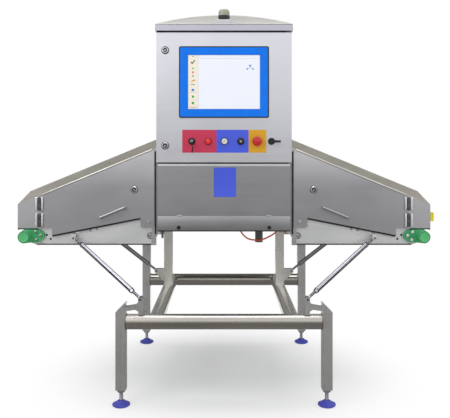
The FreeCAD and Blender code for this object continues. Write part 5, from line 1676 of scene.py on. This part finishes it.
@dataclass
class OperatorScreen:
    """The touch screen: its black rim, blue membrane and lit page with plain signs."""

    bezel_y: float = -0.244
    glass_y: float = -0.243
    middle_z: float = 1.298
    half_width: float = 0.1855
    half_height: float = 0.1465
    glass_half: Point = (0.1525, 0.1145)
    sign_x: float = -0.1316

    def build_membrane(self) -> bpy.types.Object:
        """Model the blue membrane round the glass, with rounded corners, and return it."""
        low = (-self.half_width, self.bezel_y - 0.0006, self.middle_z - self.half_height)
        high = (self.half_width, self.bezel_y + 0.0002, self.middle_z + self.half_height)
        membrane = block("screen_membrane", low, high)
        glass_x, glass_z = self.glass_half
        rim = min(self.half_width - glass_x, self.half_height - glass_z)
        with editing(membrane):
            pick_faces(membrane, faces_along)
            bpy.ops.mesh.inset(thickness=rim)
            bpy.ops.transform.resize(
                value=(glass_x / (self.half_width - rim), 1.0, glass_z / (self.half_height - rim)),
                center_override=(0.0, self.bezel_y, self.middle_z),
            )
            bpy.ops.mesh.bridge_edge_loops()
        outside = self.half_width - 0.001
        bevel_edges(
            membrane,
            lambda edge: reach(edge, 1) > 0.0005 and abs(edge.verts[0].co.x) > outside,
            0.005,
            6,
        )
        soften(membrane, 0.0002)
        return membrane

    def spot(self, x: float, row: float) -> Point:
        """Return the place of a sign on the glass, from its x and its height."""
        return (x, self.glass_y - 0.0001, row)

    def sign_disc(self, name: str, x: float, row: float, radius: float, sides: int) -> bpy.types.Object:
        """Add a flat sign with round or straight sides, and return it."""
        sign = disc(name, self.spot(x, row), radius, 0.0004, Axis.Y, sides)
        soften(sign, 0.0001, 1)
        return sign

    def sign_bar(self, name: str, x: float, row: float, size: Point, turn: float = 0.0) -> bpy.types.Object:
        """Add a flat straight sign.

        Args:
            name: The sign's name.
            x: Its place across the glass.
            row: Its height.
            size: Its width and height.
            turn: Its turn in degrees.

        Returns:
            The sign.
        """
        y = self.glass_y - 0.0001
        low = (x - size[0] / 2, y - 0.0002, row - size[1] / 2)
        high = (x + size[0] / 2, y + 0.0002, row + size[1] / 2)
        sign = block(name, low, high, (0.0, math.radians(turn), 0.0))
        soften(sign, 0.0001, 1)
        return sign

    def build_signs(self) -> None:
        """Put plain signs on the page: a tick, lamps, a pen, a globe, start and stop."""
        x = self.sign_x
        green = MouldedPlastic("sign_green", (10, 176, 30), "green_plastic", 0.3)
        teal = MouldedPlastic("sign_teal", (0, 104, 76), "green_plastic", 0.3)
        red = MouldedPlastic("sign_red", (240, 90, 90), "crimson_plastic", 0.3)
        grey = MouldedPlastic("sign_grey", (150, 150, 152), "tank_grey", 0.3)
        line = MouldedPlastic("sign_line", (206, 204, 198), "white_plastic", 0.3)
        blue = MouldedPlastic("sign_blue", (70, 150, 232), "screen_blue", 0.3)
        amber = MouldedPlastic("sign_amber", (240, 176, 30), "sensor_yellow", 0.3)
        dark = MouldedPlastic("sign_dark", (60, 54, 50), "black_plastic", 0.3)
        tick = (
            self.sign_bar("tick_short", x - 0.0050, 1.3790, (0.0105, 0.0044), 48.0),
            self.sign_bar("tick_long", x + 0.0026, 1.3830, (0.0190, 0.0044), -52.0),
        )
        signs = (
            ("sign_tick", teal, tick),
            ("sign_lamp_green", green, (self.sign_disc("lamp_a", x, 1.3555, 0.0034, 24),)),
            ("sign_lamp_red", red, (self.sign_disc("lamp_b", x, 1.3395, 0.0040, 24),)),
            (
                "sign_marks_grey",
                grey,
                (
                    self.sign_disc("lamp_c", x, 1.3238, 0.0036, 24),
                    self.sign_bar("foot_bar", x, 1.1895, (0.024, 0.0018)),
                ),
            ),
            ("sign_pen", amber, (self.sign_bar("pen", x, 1.3030, (0.0140, 0.0056), -28.0),)),
            (
                "sign_marks_dark",
                dark,
                (
                    self.sign_bar("pen_tip", x + 0.0070, 1.3060, (0.0040, 0.0030), -28.0),
                    self.sign_bar("pen_line", x, 1.2880, (0.0170, 0.0020)),
                    self.sign_disc("arrow", x, 1.4062, 0.0030, 3),
                ),
            ),
            ("sign_globe", blue, (self.sign_disc("globe", x, 1.2642, 0.0060, 32),)),
            (
                "sign_start_stop",
                green,
                (
                    self.sign_start(x, 1.2360),
                    self.sign_bar("stop", x, 1.2090, (0.0096, 0.0096)),
                ),
            ),
            (
                "sign_lines",
                line,
                (
                    self.sign_bar("rule_top", 0.0235, 1.3968, (0.2450, 0.0010)),
                    self.sign_bar("rule_left", -0.1085, 1.2980, (0.0010, 0.2270)),
                    *(
                        self.sign_bar("rule_key_" + word, x, row, (0.0380, 0.0010))
                        for word, row in (("a", 1.2535), ("b", 1.2228), ("c", 1.1952))
                    ),
                ),
            ),
            (
                "sign_network",
                blue,
                (
                    self.sign_bar("network_top", 0.1107, 1.3675, (0.0090, 0.0070)),
                    self.sign_bar("network_left", 0.0985, 1.3530, (0.0070, 0.0055)),
                    self.sign_bar("network_right", 0.1229, 1.3530, (0.0070, 0.0055)),
                ),
            ),
            (
                "sign_network_lines",
                grey,
                (
                    self.sign_bar("network_stem", 0.1107, 1.3610, (0.0012, 0.0070)),
                    self.sign_bar("network_bar", 0.1107, 1.3577, (0.0250, 0.0012)),
                ),
            ),
        )
        for name, finish, parts in signs:
            mount(join(name, *parts), DOOR, finish)

    def sign_start(self, x: float, row: float) -> bpy.types.Object:
        """Add the triangle that points to the right, and return it."""
        deselect()
        bpy.ops.mesh.primitive_cylinder_add(
            vertices=3,
            radius=0.0078,
            depth=0.0004,
            location=self.spot(x, row),
            rotation=(math.pi / 2, math.radians(90.0), 0.0),
        )
        sign = added("start")
        settle(sign)
        soften(sign, 0.0001, 1)
        return sign

    def build(self) -> None:
        """Dress the screen and lay its page."""
        dress(PLASTIC_BLACK, "panel_computer")
        dress(DISPLAY, "screen_glass")
        mount(self.build_membrane(), DOOR, MEMBRANE_BLUE)
        self.build_signs()


@dataclass
class Controls:
    """The push buttons, the key, the emergency stop and the main switch."""

    row_z: float = 1.047
    stop_x: float = 0.140
    skirt_y: float = -0.2493
    skirt_radius: float = 0.0185
    key_x: float = -0.136
    key_face_y: float = -0.2484
    key_ring_y: float = -0.2640
    key_bar_depths: Sequence[float] = (-0.2751, -0.2738)
    key_bar_shift: float = 0.0034
    lever_x: float = 0.201
    hub_y: float = -0.2546
    grip_depths: Sequence[float] = (-0.2556, -0.2500)
    mark_y: float = -0.2528
    mark_radius: float = 0.0042

    def build_stop_skirt(self) -> bpy.types.Object:
        """Model the emergency stop's lower skirt, and return it."""
        place = (self.stop_x, self.skirt_y, self.row_z)
        skirt = disc("emergency_stop_skirt", place, self.skirt_radius, 0.0018, Axis.Y, 64)
        bore(skirt, 0.0100)
        soften(skirt, 0.0005, 3)
        return skirt

    def build_key_face(self) -> bpy.types.Object:
        """Model the bright slotted face of the key switch, and return it."""
        face = disc("key_face", (self.key_x, self.key_face_y, self.row_z), 0.0094, 0.0010, Axis.Y, 48)
        dish(face, 0.0012, 0.0003)
        soften(face, 0.0002)
        return face

    def build_hanging_key(self) -> bpy.types.Object:
        """Model the spare key that hangs from the key switch on its ring, and return it."""
        x, z = self.key_x, self.row_z
        loop = ring("key_loop", (x + 0.001, self.key_ring_y, z - 0.0150), 0.0062, 0.0008, Axis.Y, 32, 8)
        low, high = (x + 0.0010, -0.2655, z - 0.0480), (x + 0.0062, -0.2630, z - 0.0200)
        blade = block("key_blade", low, high, (0.0, 0.12, 0.0))
        bevel_edges(blade, lambda edge: reach(edge, 1) > 0.001, 0.0016, 3)
        soften(blade, 0.0003)
        return join("hanging_key", loop, blade)

    def build_key_bars(self) -> bpy.types.Object:
        """Model the two bright bars in the key switch's dark face, and return them."""
        bars = []
        front, rear = self.key_bar_depths
        half_wide, half_high, turn = 0.0013, 0.0062, 0.45
        for index, shift in enumerate((-self.key_bar_shift, self.key_bar_shift)):
            x = self.key_x + shift
            bar = block(
                "key_bar_%d" % index,
                (x - half_wide, front, self.row_z - half_high),
                (x + half_wide, rear, self.row_z + half_high),
                (0.0, turn, 0.0),
            )
            soften(bar, 0.0004)
            bars.append(bar)
        return join("key_bars", *bars)

    def build_mark(self, name: str, x: float) -> bpy.types.Object:
        """Model the plain ring mark on a push button.

        Args:
            name: The mark's name.
            x: The button's place along the row.

        Returns:
            The mark.
        """
        mark = disc(name, (x, self.mark_y - 0.0001, self.row_z), self.mark_radius, 0.0005, Axis.Y, 32)
        bore(mark, 0.0014)
        soften(mark, 0.0001, 1)
        return mark

    def build_lever_hub(self) -> bpy.types.Object:
        """Model the raised round hub over the main switch's lever, and return it."""
        hub = disc("lever_hub", (self.lever_x, self.hub_y, self.row_z), 0.0098, 0.0020, Axis.Y, 48)
        dish(hub, 0.0022, 0.0008)
        soften(hub, 0.0005, 3)
        return hub

    def build_lever_grip(self) -> bpy.types.Object:
        """Model the slim grip that lengthens the main switch's lever, and return it."""
        x, z = self.lever_x, self.row_z
        front, rear = self.grip_depths
        grip = block("lever_grip", (x + 0.008, front, z - 0.0034), (x + 0.0385, rear, z + 0.0034))
        with editing(grip, "VERT"):
            pick_vertices(grip, lambda vertex: vertex.co.x > x + 0.03)
            bpy.ops.transform.resize(value=(1.0, 0.8, 1.35), center_override=(x, -0.2528, z))
        soften(grip, 0.0014, 3)
        return grip

    def build(self) -> None:
        """Dress the controls and add their details."""
        dress(PLASTIC_BLACK, "control_rings", "stop_button", "isolator_lever", "key_switch")
        dress(BUTTON_RED, "reset_button")
        dress(BUTTON_WHITE, "start_button")
        dress(MUSHROOM_RED, "emergency_stop")
        mount(self.build_stop_skirt(), "emergency_stop", MUSHROOM_RED)
        mount(self.build_key_face(), "key_switch", PLASTIC_BLACK)
        mount(self.build_key_bars(), "key_switch", LOCK_STEEL)
        mount(self.build_hanging_key(), "key_switch", PLASTIC_BLACK)
        mount(self.build_lever_hub(), "isolator_lever", PLASTIC_BLACK)
        mount(self.build_lever_grip(), "isolator_lever", PLASTIC_BLACK)
        mount(self.build_mark("start_mark", 0.002), "start_button", LEGEND_GREY)
        mount(self.build_mark("stop_mark", 0.071), "stop_button", BUTTON_WHITE)


# Conveyor


@dataclass
class Wing:
    """One wing of the conveyor: its hood, side plate, hinged guard and bearing."""

    side: Side
    head_x: float = 0.290
    wing_out: float = 0.885
    eave_in: float = 1.021
    eave_out: float = 0.777
    door_in: float = 0.299
    door_out: float = 0.782
    door_y: float = -0.212
    roller: Point = (0.848, 0.641)
    plate_y: float = -0.195
    boss: Point = (0.324, 0.704)
    latch: Point = (0.384, 0.841)
    latch_front: float = -0.219
    hinge_x: float = 0.789
    hinge_levels: Sequence[float] = (0.683, 0.753)
    leaf_shift: float = 0.0122
    leaf_depths: Sequence[float] = (-0.2215, -0.2176)
    leaf_half: float = 0.0040
    knuckle_y: float = -0.218
    knuckle_radius: float = 0.0072
    knuckle_half: float = 0.028
    fold_radius: float = 0.0050
    cap_places: Sequence[Point] = ((0.042, 0.020), (0.063, 0.005), (0.045, -0.014))
    bearing_front: float = -0.2446
    groove_front: float = -0.2450
    sill_seal: Sequence[Point] = ((0.7965, -0.2078, 0.6702), (0.8835, -0.2036, 0.6746))
    snub: Point = (0.317, 0.642)
    bolt_places: Sequence[Point] = ((0.5745, 0.6660), (0.5470, 0.6710))
    plug_places: Sequence[Point] = ((0.7625, 0.6450), (0.7462, 0.6280))
    # The ends of the dark strip that paints the guard's shadow.
    guard_seal: Sequence[Point] = ((0.3585, 0.0, 0.7190), (0.7355, 0.0, 0.6450))
    head_seal: Sequence[Point] = ((0.2912, -0.2125, 0.6500), (0.2965, -0.2052, 1.0050))
    lip_ends: Sequence[float] = (0.3000, 0.8060)
    lip_heights: Sequence[float] = (0.6022, 0.6078)

    def eave(self, x: float) -> float:
        """Return the height of the hood's edge at a place along the wing."""
        drop = self.eave_in - self.eave_out
        return self.eave_in - (x - self.head_x) * drop / (self.wing_out - self.head_x)

    def build_door_fold(self) -> bpy.types.Object:
        """Model the rounded fold along the top of the hinged guard, and return it."""
        start = Vector((self.door_in + 0.008, self.door_y + 0.003, self.eave(self.door_in + 0.008) - 0.0021))
        end = Vector((self.door_out - 0.002, self.door_y + 0.003, self.eave(self.door_out - 0.002) - 0.0021))
        run = end - start
        deselect()
        bpy.ops.mesh.primitive_cylinder_add(
            vertices=24,
            radius=self.fold_radius,
            depth=run.length,
            location=(start + end) / 2,
            rotation=run.to_track_quat("Z", "Y").to_euler(),
        )
        fold = added("guard_fold")
        settle(fold)
        soften(fold, 0.0012, 3)
        return fold

    def build_cap(self, index: int, x: float, z: float) -> bpy.types.Object:
        """Model the domed cap over one bolt of the bearing.

        Args:
            index: The bolt's number.
            x: Its distance in from the roller's axis.
            z: Its height over the roller's axis.

        Returns:
            The cap.
        """
        place = (self.roller[0] - x, self.plate_y - 0.0203, self.roller[1] + z)
        cap = disc("bolt_cap_%d" % index, place, 0.0064, 0.0026, Axis.Y, 40)
        with editing(cap):
            pick_faces(cap, faces_front)
            bpy.ops.mesh.inset(thickness=0.0018, depth=0.0006)
        soften(cap, 0.0008, 3)
        return cap

    def build_bearing_cap(self) -> bpy.types.Object:
        """Model the round closing cap in the front of the bearing's housing, and return it."""
        cap = disc(
            "bearing_cap", (self.roller[0], self.bearing_front, self.roller[1]), 0.0222, 0.0030, Axis.Y, 72
        )
        with editing(cap):
            pick_faces(cap, faces_front)
            bpy.ops.mesh.inset(thickness=0.0030)
            bpy.ops.mesh.inset(thickness=0.0010, depth=-0.0005)
        soften(cap, 0.0008, 3)
        return cap

    def build_bearing_groove(self) -> bpy.types.Object:
        """Model the dark sealing ring round the bearing's cap, and return it."""
        middle = (self.roller[0], self.groove_front, self.roller[1])
        groove = ring("bearing_groove", middle, 0.0232, 0.0009, Axis.Y, 72, 8)
        select(groove)
        bpy.ops.object.shade_smooth()
        return groove

    def build_sill_seal(self) -> bpy.types.Object:
        """Model the dark edge strip of the hood above the bearing, and return it."""
        seal = block("sill_seal", *self.sill_seal)
        bevel_edges(seal, in_front_of(-0.2070), 0.0010, 3)
        soften(seal, 0.0003)
        return seal

    def build_snub_nut(self) -> bpy.types.Object:
        """Model the round nut on the end of the small roller's shaft, and return it."""
        x, z = self.snub
        nut = disc("snub_nut", (x, self.plate_y - 0.0038, z), 0.0120, 0.0046, Axis.Y, 56)
        with editing(nut):
            pick_faces(nut, faces_front)
            bpy.ops.mesh.inset(thickness=0.0026)
            push(0.0014)
            bpy.ops.mesh.inset(thickness=0.0022)
            push(-0.0012)
        soften(nut, 0.0005, 3)
        return nut

    def build_snub_washer(self) -> bpy.types.Object:
        """Model the dark washer behind that nut, and return it."""
        x, z = self.snub
        washer = disc("snub_washer", (x, self.plate_y - 0.0008, z), 0.0142, 0.0016, Axis.Y, 56)
        bore(washer, 0.0040)
        soften(washer, 0.0003)
        return washer

    def build_plate_bolts(self) -> bpy.types.Object:
        """Model the two small bolts under the guard's edge, and return them."""
        bolts = []
        for index, (x, z) in enumerate(self.bolt_places):
            bolt = disc("plate_bolt_%d" % index, (x, self.plate_y - 0.002, z), 0.0052, 0.0048, Axis.Y, 6)
            with editing(bolt):
                pick_faces(bolt, faces_front)
                bpy.ops.mesh.inset(thickness=0.0012, depth=0.0005)
            soften(bolt, 0.0005)
            bolts.append(bolt)
        return join("plate_bolts", *bolts)

    def build_plugs(self) -> bpy.types.Object:
        """Model the black plugs in the side plate beside the bearing, and return them."""
        plugs = []
        for index, (x, z) in enumerate(self.plug_places):
            plug = disc("plate_plug_%d" % index, (x, self.plate_y - 0.0004, z), 0.0046, 0.0018, Axis.Y, 32)
            dish(plug, 0.0013, 0.0006)
            soften(plug, 0.0003)
            plugs.append(plug)
        return join("plate_plugs", *plugs)

    def build_boss_screw(self) -> bpy.types.Object:
        """Model the pan-head screw in the tab of the guard, and return it."""
        x, z = self.boss
        head = disc("boss_screw", (x, self.door_y - 0.0052, z), 0.0062, 0.0026, Axis.Y, 40)
        dish(head, 0.0024, 0.0012)
        soften(head, 0.0008, 3)
        return head

    def build_latch_washer(self) -> bpy.types.Object:
        """Model the thin washer under the latch's head, and return it."""
        x, z = self.latch
        washer = disc("latch_washer", (x, self.door_y - 0.0002, z), 0.0160, 0.0012, Axis.Y, 56)
        bore(washer, 0.0070)
        soften(washer, 0.0003)
        return washer

    def build_guard_seal(self) -> bpy.types.Object:
        """Model the dark strip along the guard's sloping lower edge, a painted shadow of that edge on the
        side plate, and return it.
        """
        start, end = (Vector(point) for point in self.guard_seal)
        run = end - start
        middle = (start + end) / 2
        turn = math.atan2(run.x, run.z) - math.pi / 2
        seal = block(
            "guard_seal",
            (middle.x - run.length / 2, -0.2105, middle.z - 0.0062),
            (middle.x + run.length / 2, -0.1995, middle.z + 0.0024),
            (0.0, turn, 0.0),
        )
        bevel_edges(seal, lambda edge: reach(edge, 0) > 0.3, 0.0012, 3)
        soften(seal, 0.0003)
        return seal

    def build_head_seal(self) -> bpy.types.Object:
        """Model the dark seal that stands between the guard and the head, and return it."""
        seal = block("head_seal", *self.head_seal)
        bevel_edges(seal, in_front_of(-0.212), 0.0012, 3)
        soften(seal, 0.0003)
        return seal

    def build_plate_lip(self) -> bpy.types.Object:
        """Model the folded lip along the side plate's lower edge, dark with painted shade, and return it."""
        (start, end), (low, high) = self.lip_ends, self.lip_heights
        lip = block("plate_lip", (start, self.plate_y - 0.0032, low), (end, self.plate_y + 0.0002, high))
        bevel_edges(lip, in_front_of(self.plate_y - 0.003), 0.0014, 3)
        soften(lip, 0.0003)
        return lip

    def build_hinge_bar(self, name: str, middle: float, level: float) -> bpy.types.Object:
        """Model the rounded casting over one leaf of a hinge.

        Args:
            name: The casting's name.
            middle: Its middle across the hinge.
            level: The hinge's lower end.

        Returns:
            The casting, crowned and rounded at its ends.
        """
        front, rear = self.leaf_depths
        low = (middle - self.leaf_half, front, level + 0.0004)
        bar = block(name, low, (middle + self.leaf_half, rear, level + 0.0556))
        bevel_edges(bar, in_front_of(-0.2214), 0.0026, 5)
        bevel_edges(bar, lambda edge: reach(edge, 1) > 0.0010, 0.0010, 3)
        soften(bar, 0.0003)
        return bar

    def build_hinge_sleeve(self, name: str, low: float, high: float) -> bpy.types.Object:
        """Model the polished sleeve round one knuckle of a hinge, whose dark finish paints shade between the
        castings.

        Args:
            name: The sleeve's name.
            low: Its lower end.
            high: Its upper end.

        Returns:
            The sleeve, with domed ends.
        """
        middle = (self.hinge_x, self.knuckle_y, (low + high) / 2)
        sleeve = disc(name, middle, self.knuckle_radius, high - low, Axis.Z, 48)
        with editing(sleeve):
            pick_faces(sleeve, lambda face: abs(face.normal.z) > FACING)
            bpy.ops.mesh.inset(thickness=0.0012)
        soften(sleeve, 0.0018, 4)
        return sleeve

    def build_hinge_castings(self, moving: bool) -> bpy.types.Object:
        """Model the castings over one leaf of both hinges.

        Args:
            moving: Whether they are on the leaf that moves with the guard.

        Returns:
            The castings, as one piece.
        """
        shift = -self.leaf_shift if moving else self.leaf_shift
        parts = []
        for index, level in enumerate(self.hinge_levels):
            parts.append(self.build_hinge_bar("hinge_bar_%d" % index, self.hinge_x + shift, level))
        return join("hinge_castings", *parts)

    def build_hinge_sleeves(self, moving: bool) -> bpy.types.Object:
        """Model the sleeves round one half of both hinges' knuckles.

        Args:
            moving: Whether they are on the half that moves with the guard.

        Returns:
            The sleeves, as one piece.
        """
        parts = []
        for index, level in enumerate(self.hinge_levels):
            half = level + self.knuckle_half
            low, high = (half + 0.0003, level + 0.0562) if moving else (level - 0.0002, half - 0.0003)
            parts.append(self.build_hinge_sleeve("hinge_sleeve_%d" % index, low, high))
        return join("hinge_sleeves", *parts)

    def build(self) -> None:
        """Dress the wing and fasten its details."""
        word = self.side.word
        guard, latch = "access_door_" + word, "door_latch_" + word
        dress(HOOD_SHEET, "wing_hood_" + word)
        dress(PLATE_SHEET, "side_plate_" + word)
        dress(WING_SHEET, guard)
        dress(LOCK_STEEL, latch)
        dress(BEARING_GREEN, "front_bearing_" + word)
        cap_finish = BOLT_CAP if self.side is Side.RIGHT else FITTING_STEEL
        caps = [self.build_cap(index, x, z) for index, (x, z) in enumerate(self.cap_places)]
        rows = (
            (self.build_door_fold(), "guard_fold_", guard, FOLD_STEEL),
            (join("bolt_caps", *caps), "bearing_caps_", FIXED, cap_finish),
            (self.build_plate_bolts(), "plate_bolts_", FIXED, FITTING_STEEL),
            (self.build_plugs(), "plate_plugs_", FIXED, RUBBER_BLACK),
            (self.build_boss_screw(), "tab_screw_", guard, LOCK_STEEL),
            (self.build_latch_washer(), "latch_washer_", guard, RUBBER_BLACK),
            # The knuckle sleeves in a dark copy of the steel: painted shade between the castings.
            (self.build_hinge_sleeves(True), "hinge_sleeves_moving_", guard, SLEEVE_SHADE_STEEL),
            (self.build_hinge_sleeves(False), "hinge_sleeves_fixed_", FIXED, SLEEVE_SHADE_STEEL),
            # The castings' near-white tone: polished steel, partly a painted highlight.
            (self.build_hinge_castings(True), "hinge_castings_moving_", guard, HINGE_STEEL_AND_HIGHLIGHT),
            (self.build_hinge_castings(False), "hinge_castings_fixed_", FIXED, HINGE_STEEL_AND_HIGHLIGHT),
            # A dark strip under the guard's lower edge: painted shadow on the side plate.
            (self.build_guard_seal(), "guard_seal_", guard, RUBBER_BLACK),
            (self.build_head_seal(), "head_seal_", FIXED, RUBBER_BLACK),
            # The side plate's lower lip in a dark copy of the steel: painted shade.
            (self.build_plate_lip(), "plate_lip_", FIXED, LIP_SHADE_STEEL),
            # The bearing cap in a lighter copy of the bearing green: a painted highlight on the lit front
            # face.
            (self.build_bearing_cap(), "bearing_cap_", FIXED, BEARING_HIGHLIGHT),
            (self.build_bearing_groove(), "bearing_groove_", FIXED, RUBBER_BLACK),
            (self.build_sill_seal(), "sill_seal_", FIXED, RUBBER_BLACK),
            (self.build_snub_nut(), "snub_nut_", "snub_roller_" + word, FITTING_STEEL),
            (self.build_snub_washer(), "snub_washer_", FIXED, RUBBER_BLACK),
        )
        for piece, name, body, finish in rows:
            mount(sided(piece, self.side, name + word), body, finish)
        insert = lock_insert("latch", (self.latch[0], self.latch_front, self.latch[1]))
        for piece, finish in zip(insert, (PLASTIC_BLACK, LOCK_STEEL)):
            mount(sided(piece, self.side, "%s_%s" % (piece.name, word)), latch, finish)


@dataclass
class Conveyor:
    """The belt with its bed, rollers and skid bars, and the product sensor."""

    sensor_low: Point = (0.885, -0.200, 0.705)
    sensor_high: Point = (0.901, -0.176, 0.741)
    lens_x: float = 0.9029
    lens_radius: float = 0.0056

    def build_sensor_cover(self) -> bpy.types.Object:
        """Model the sensor's front cover, with its lens, and return it."""
        low, high = self.sensor_low, self.sensor_high
        cover = block(
            "sensor_cover",
            (low[0] + 0.002, low[1] - 0.0008, low[2] - 0.0006),
            (high[0] - 0.001, high[1] + 0.0008, high[2] + 0.0008),
        )
        dish(cover, 0.0022, 0.0006)
        soften(cover, 0.0012, 3)
        return cover

    def build_sensor_lens(self) -> bpy.types.Object:
        """Model the dark lens on the sensor's end, and return it."""
        low, high = self.sensor_low, self.sensor_high
        middle = (self.lens_x, (low[1] + high[1]) / 2, 0.7230)
        lens = disc("sensor_lens", middle, self.lens_radius, 0.0020, Axis.X, 40)
        with editing(lens):
            pick_faces(lens, lambda face: face.normal.x > FACING)
            bpy.ops.mesh.inset(thickness=0.0014, depth=-0.0004)
        soften(lens, 0.0004)
        return lens

    def build(self) -> None:
        """Dress the conveyor and build the sensor's details."""
        dress(BELT, "conveyor_belt")
        dress(HOUSING_SHEET, "slider_bed")
        dress(FITTING_STEEL, "drum_motor_right", "idler_roller_left", "return_skid_bars")
        dress(FITTING_STEEL, "snub_roller_left", "snub_roller_right")
        dress(SENSOR_YELLOW, "photo_sensor")
        mount(self.build_sensor_cover(), FIXED, SENSOR_YELLOW)
        mount(self.build_sensor_lens(), FIXED, PLASTIC_BLACK)


@dataclass
class XrayGear:
    """The x-ray source in the cabinet and the line detector under the belt."""

    axis_y: float = -0.020
    axis_z: float = 1.071
    radius: float = 0.095
    bands: Sequence[float] = (-0.120, 0.120)

    def build_band(self, name: str, x: float) -> bpy.types.Object:
        """Model one clamp band round the tank, with its lug.

        Args:
            name: The band's name.
            x: Its place along the tank.

        Returns:
            The band.
        """
        band = disc(name, (x, self.axis_y, self.axis_z), self.radius + 0.0012, 0.018, Axis.X, 96)
        with editing(band):
            pick_faces(band, lambda face: abs(face.normal.x) > FACING)
            bpy.ops.mesh.inset(thickness=0.0020)
            bpy.ops.mesh.bridge_edge_loops()
        soften(band, 0.0005)
        lug = block(
            name + "_lug",
            (x - 0.009, self.axis_y - 0.010, self.axis_z + self.radius - 0.001),
            (x + 0.009, self.axis_y + 0.010, self.axis_z + self.radius + 0.014),
        )
        soften(lug, 0.002, 3)
        return join(name, band, lug)

    def build(self) -> None:
        """Dress the source and the detector, and build the tank's bands."""
        dress(TANK_PAINT, "xray_generator")
        dress(DETECTOR_CAST, "line_detector")
        for index, x in enumerate(self.bands):
            mount(self.build_band("tank_band_%d" % index, x), FIXED, FITTING_STEEL)


def main() -> None:
    """Build the studio and the machine's sub-assemblies in order."""
    logging.basicConfig(level=logging.INFO, format="%(name)s: %(message)s")
    assemblies = (
        Studio(),
        OrangeCable(),
        Stand(),
        Stays(),
        InspectionHead(),
        Cabinet(),
        CabinetDoor(),
        OperatorScreen(),
        Controls(),
        Wing(Side.LEFT),
        Wing(Side.RIGHT),
        Conveyor(),
        XrayGear(),
    )
    for assembly in assemblies:
        assembly.build()
        LOG.info("%s is ready", type(assembly).__name__)


if __name__ == "__main__":
    main()
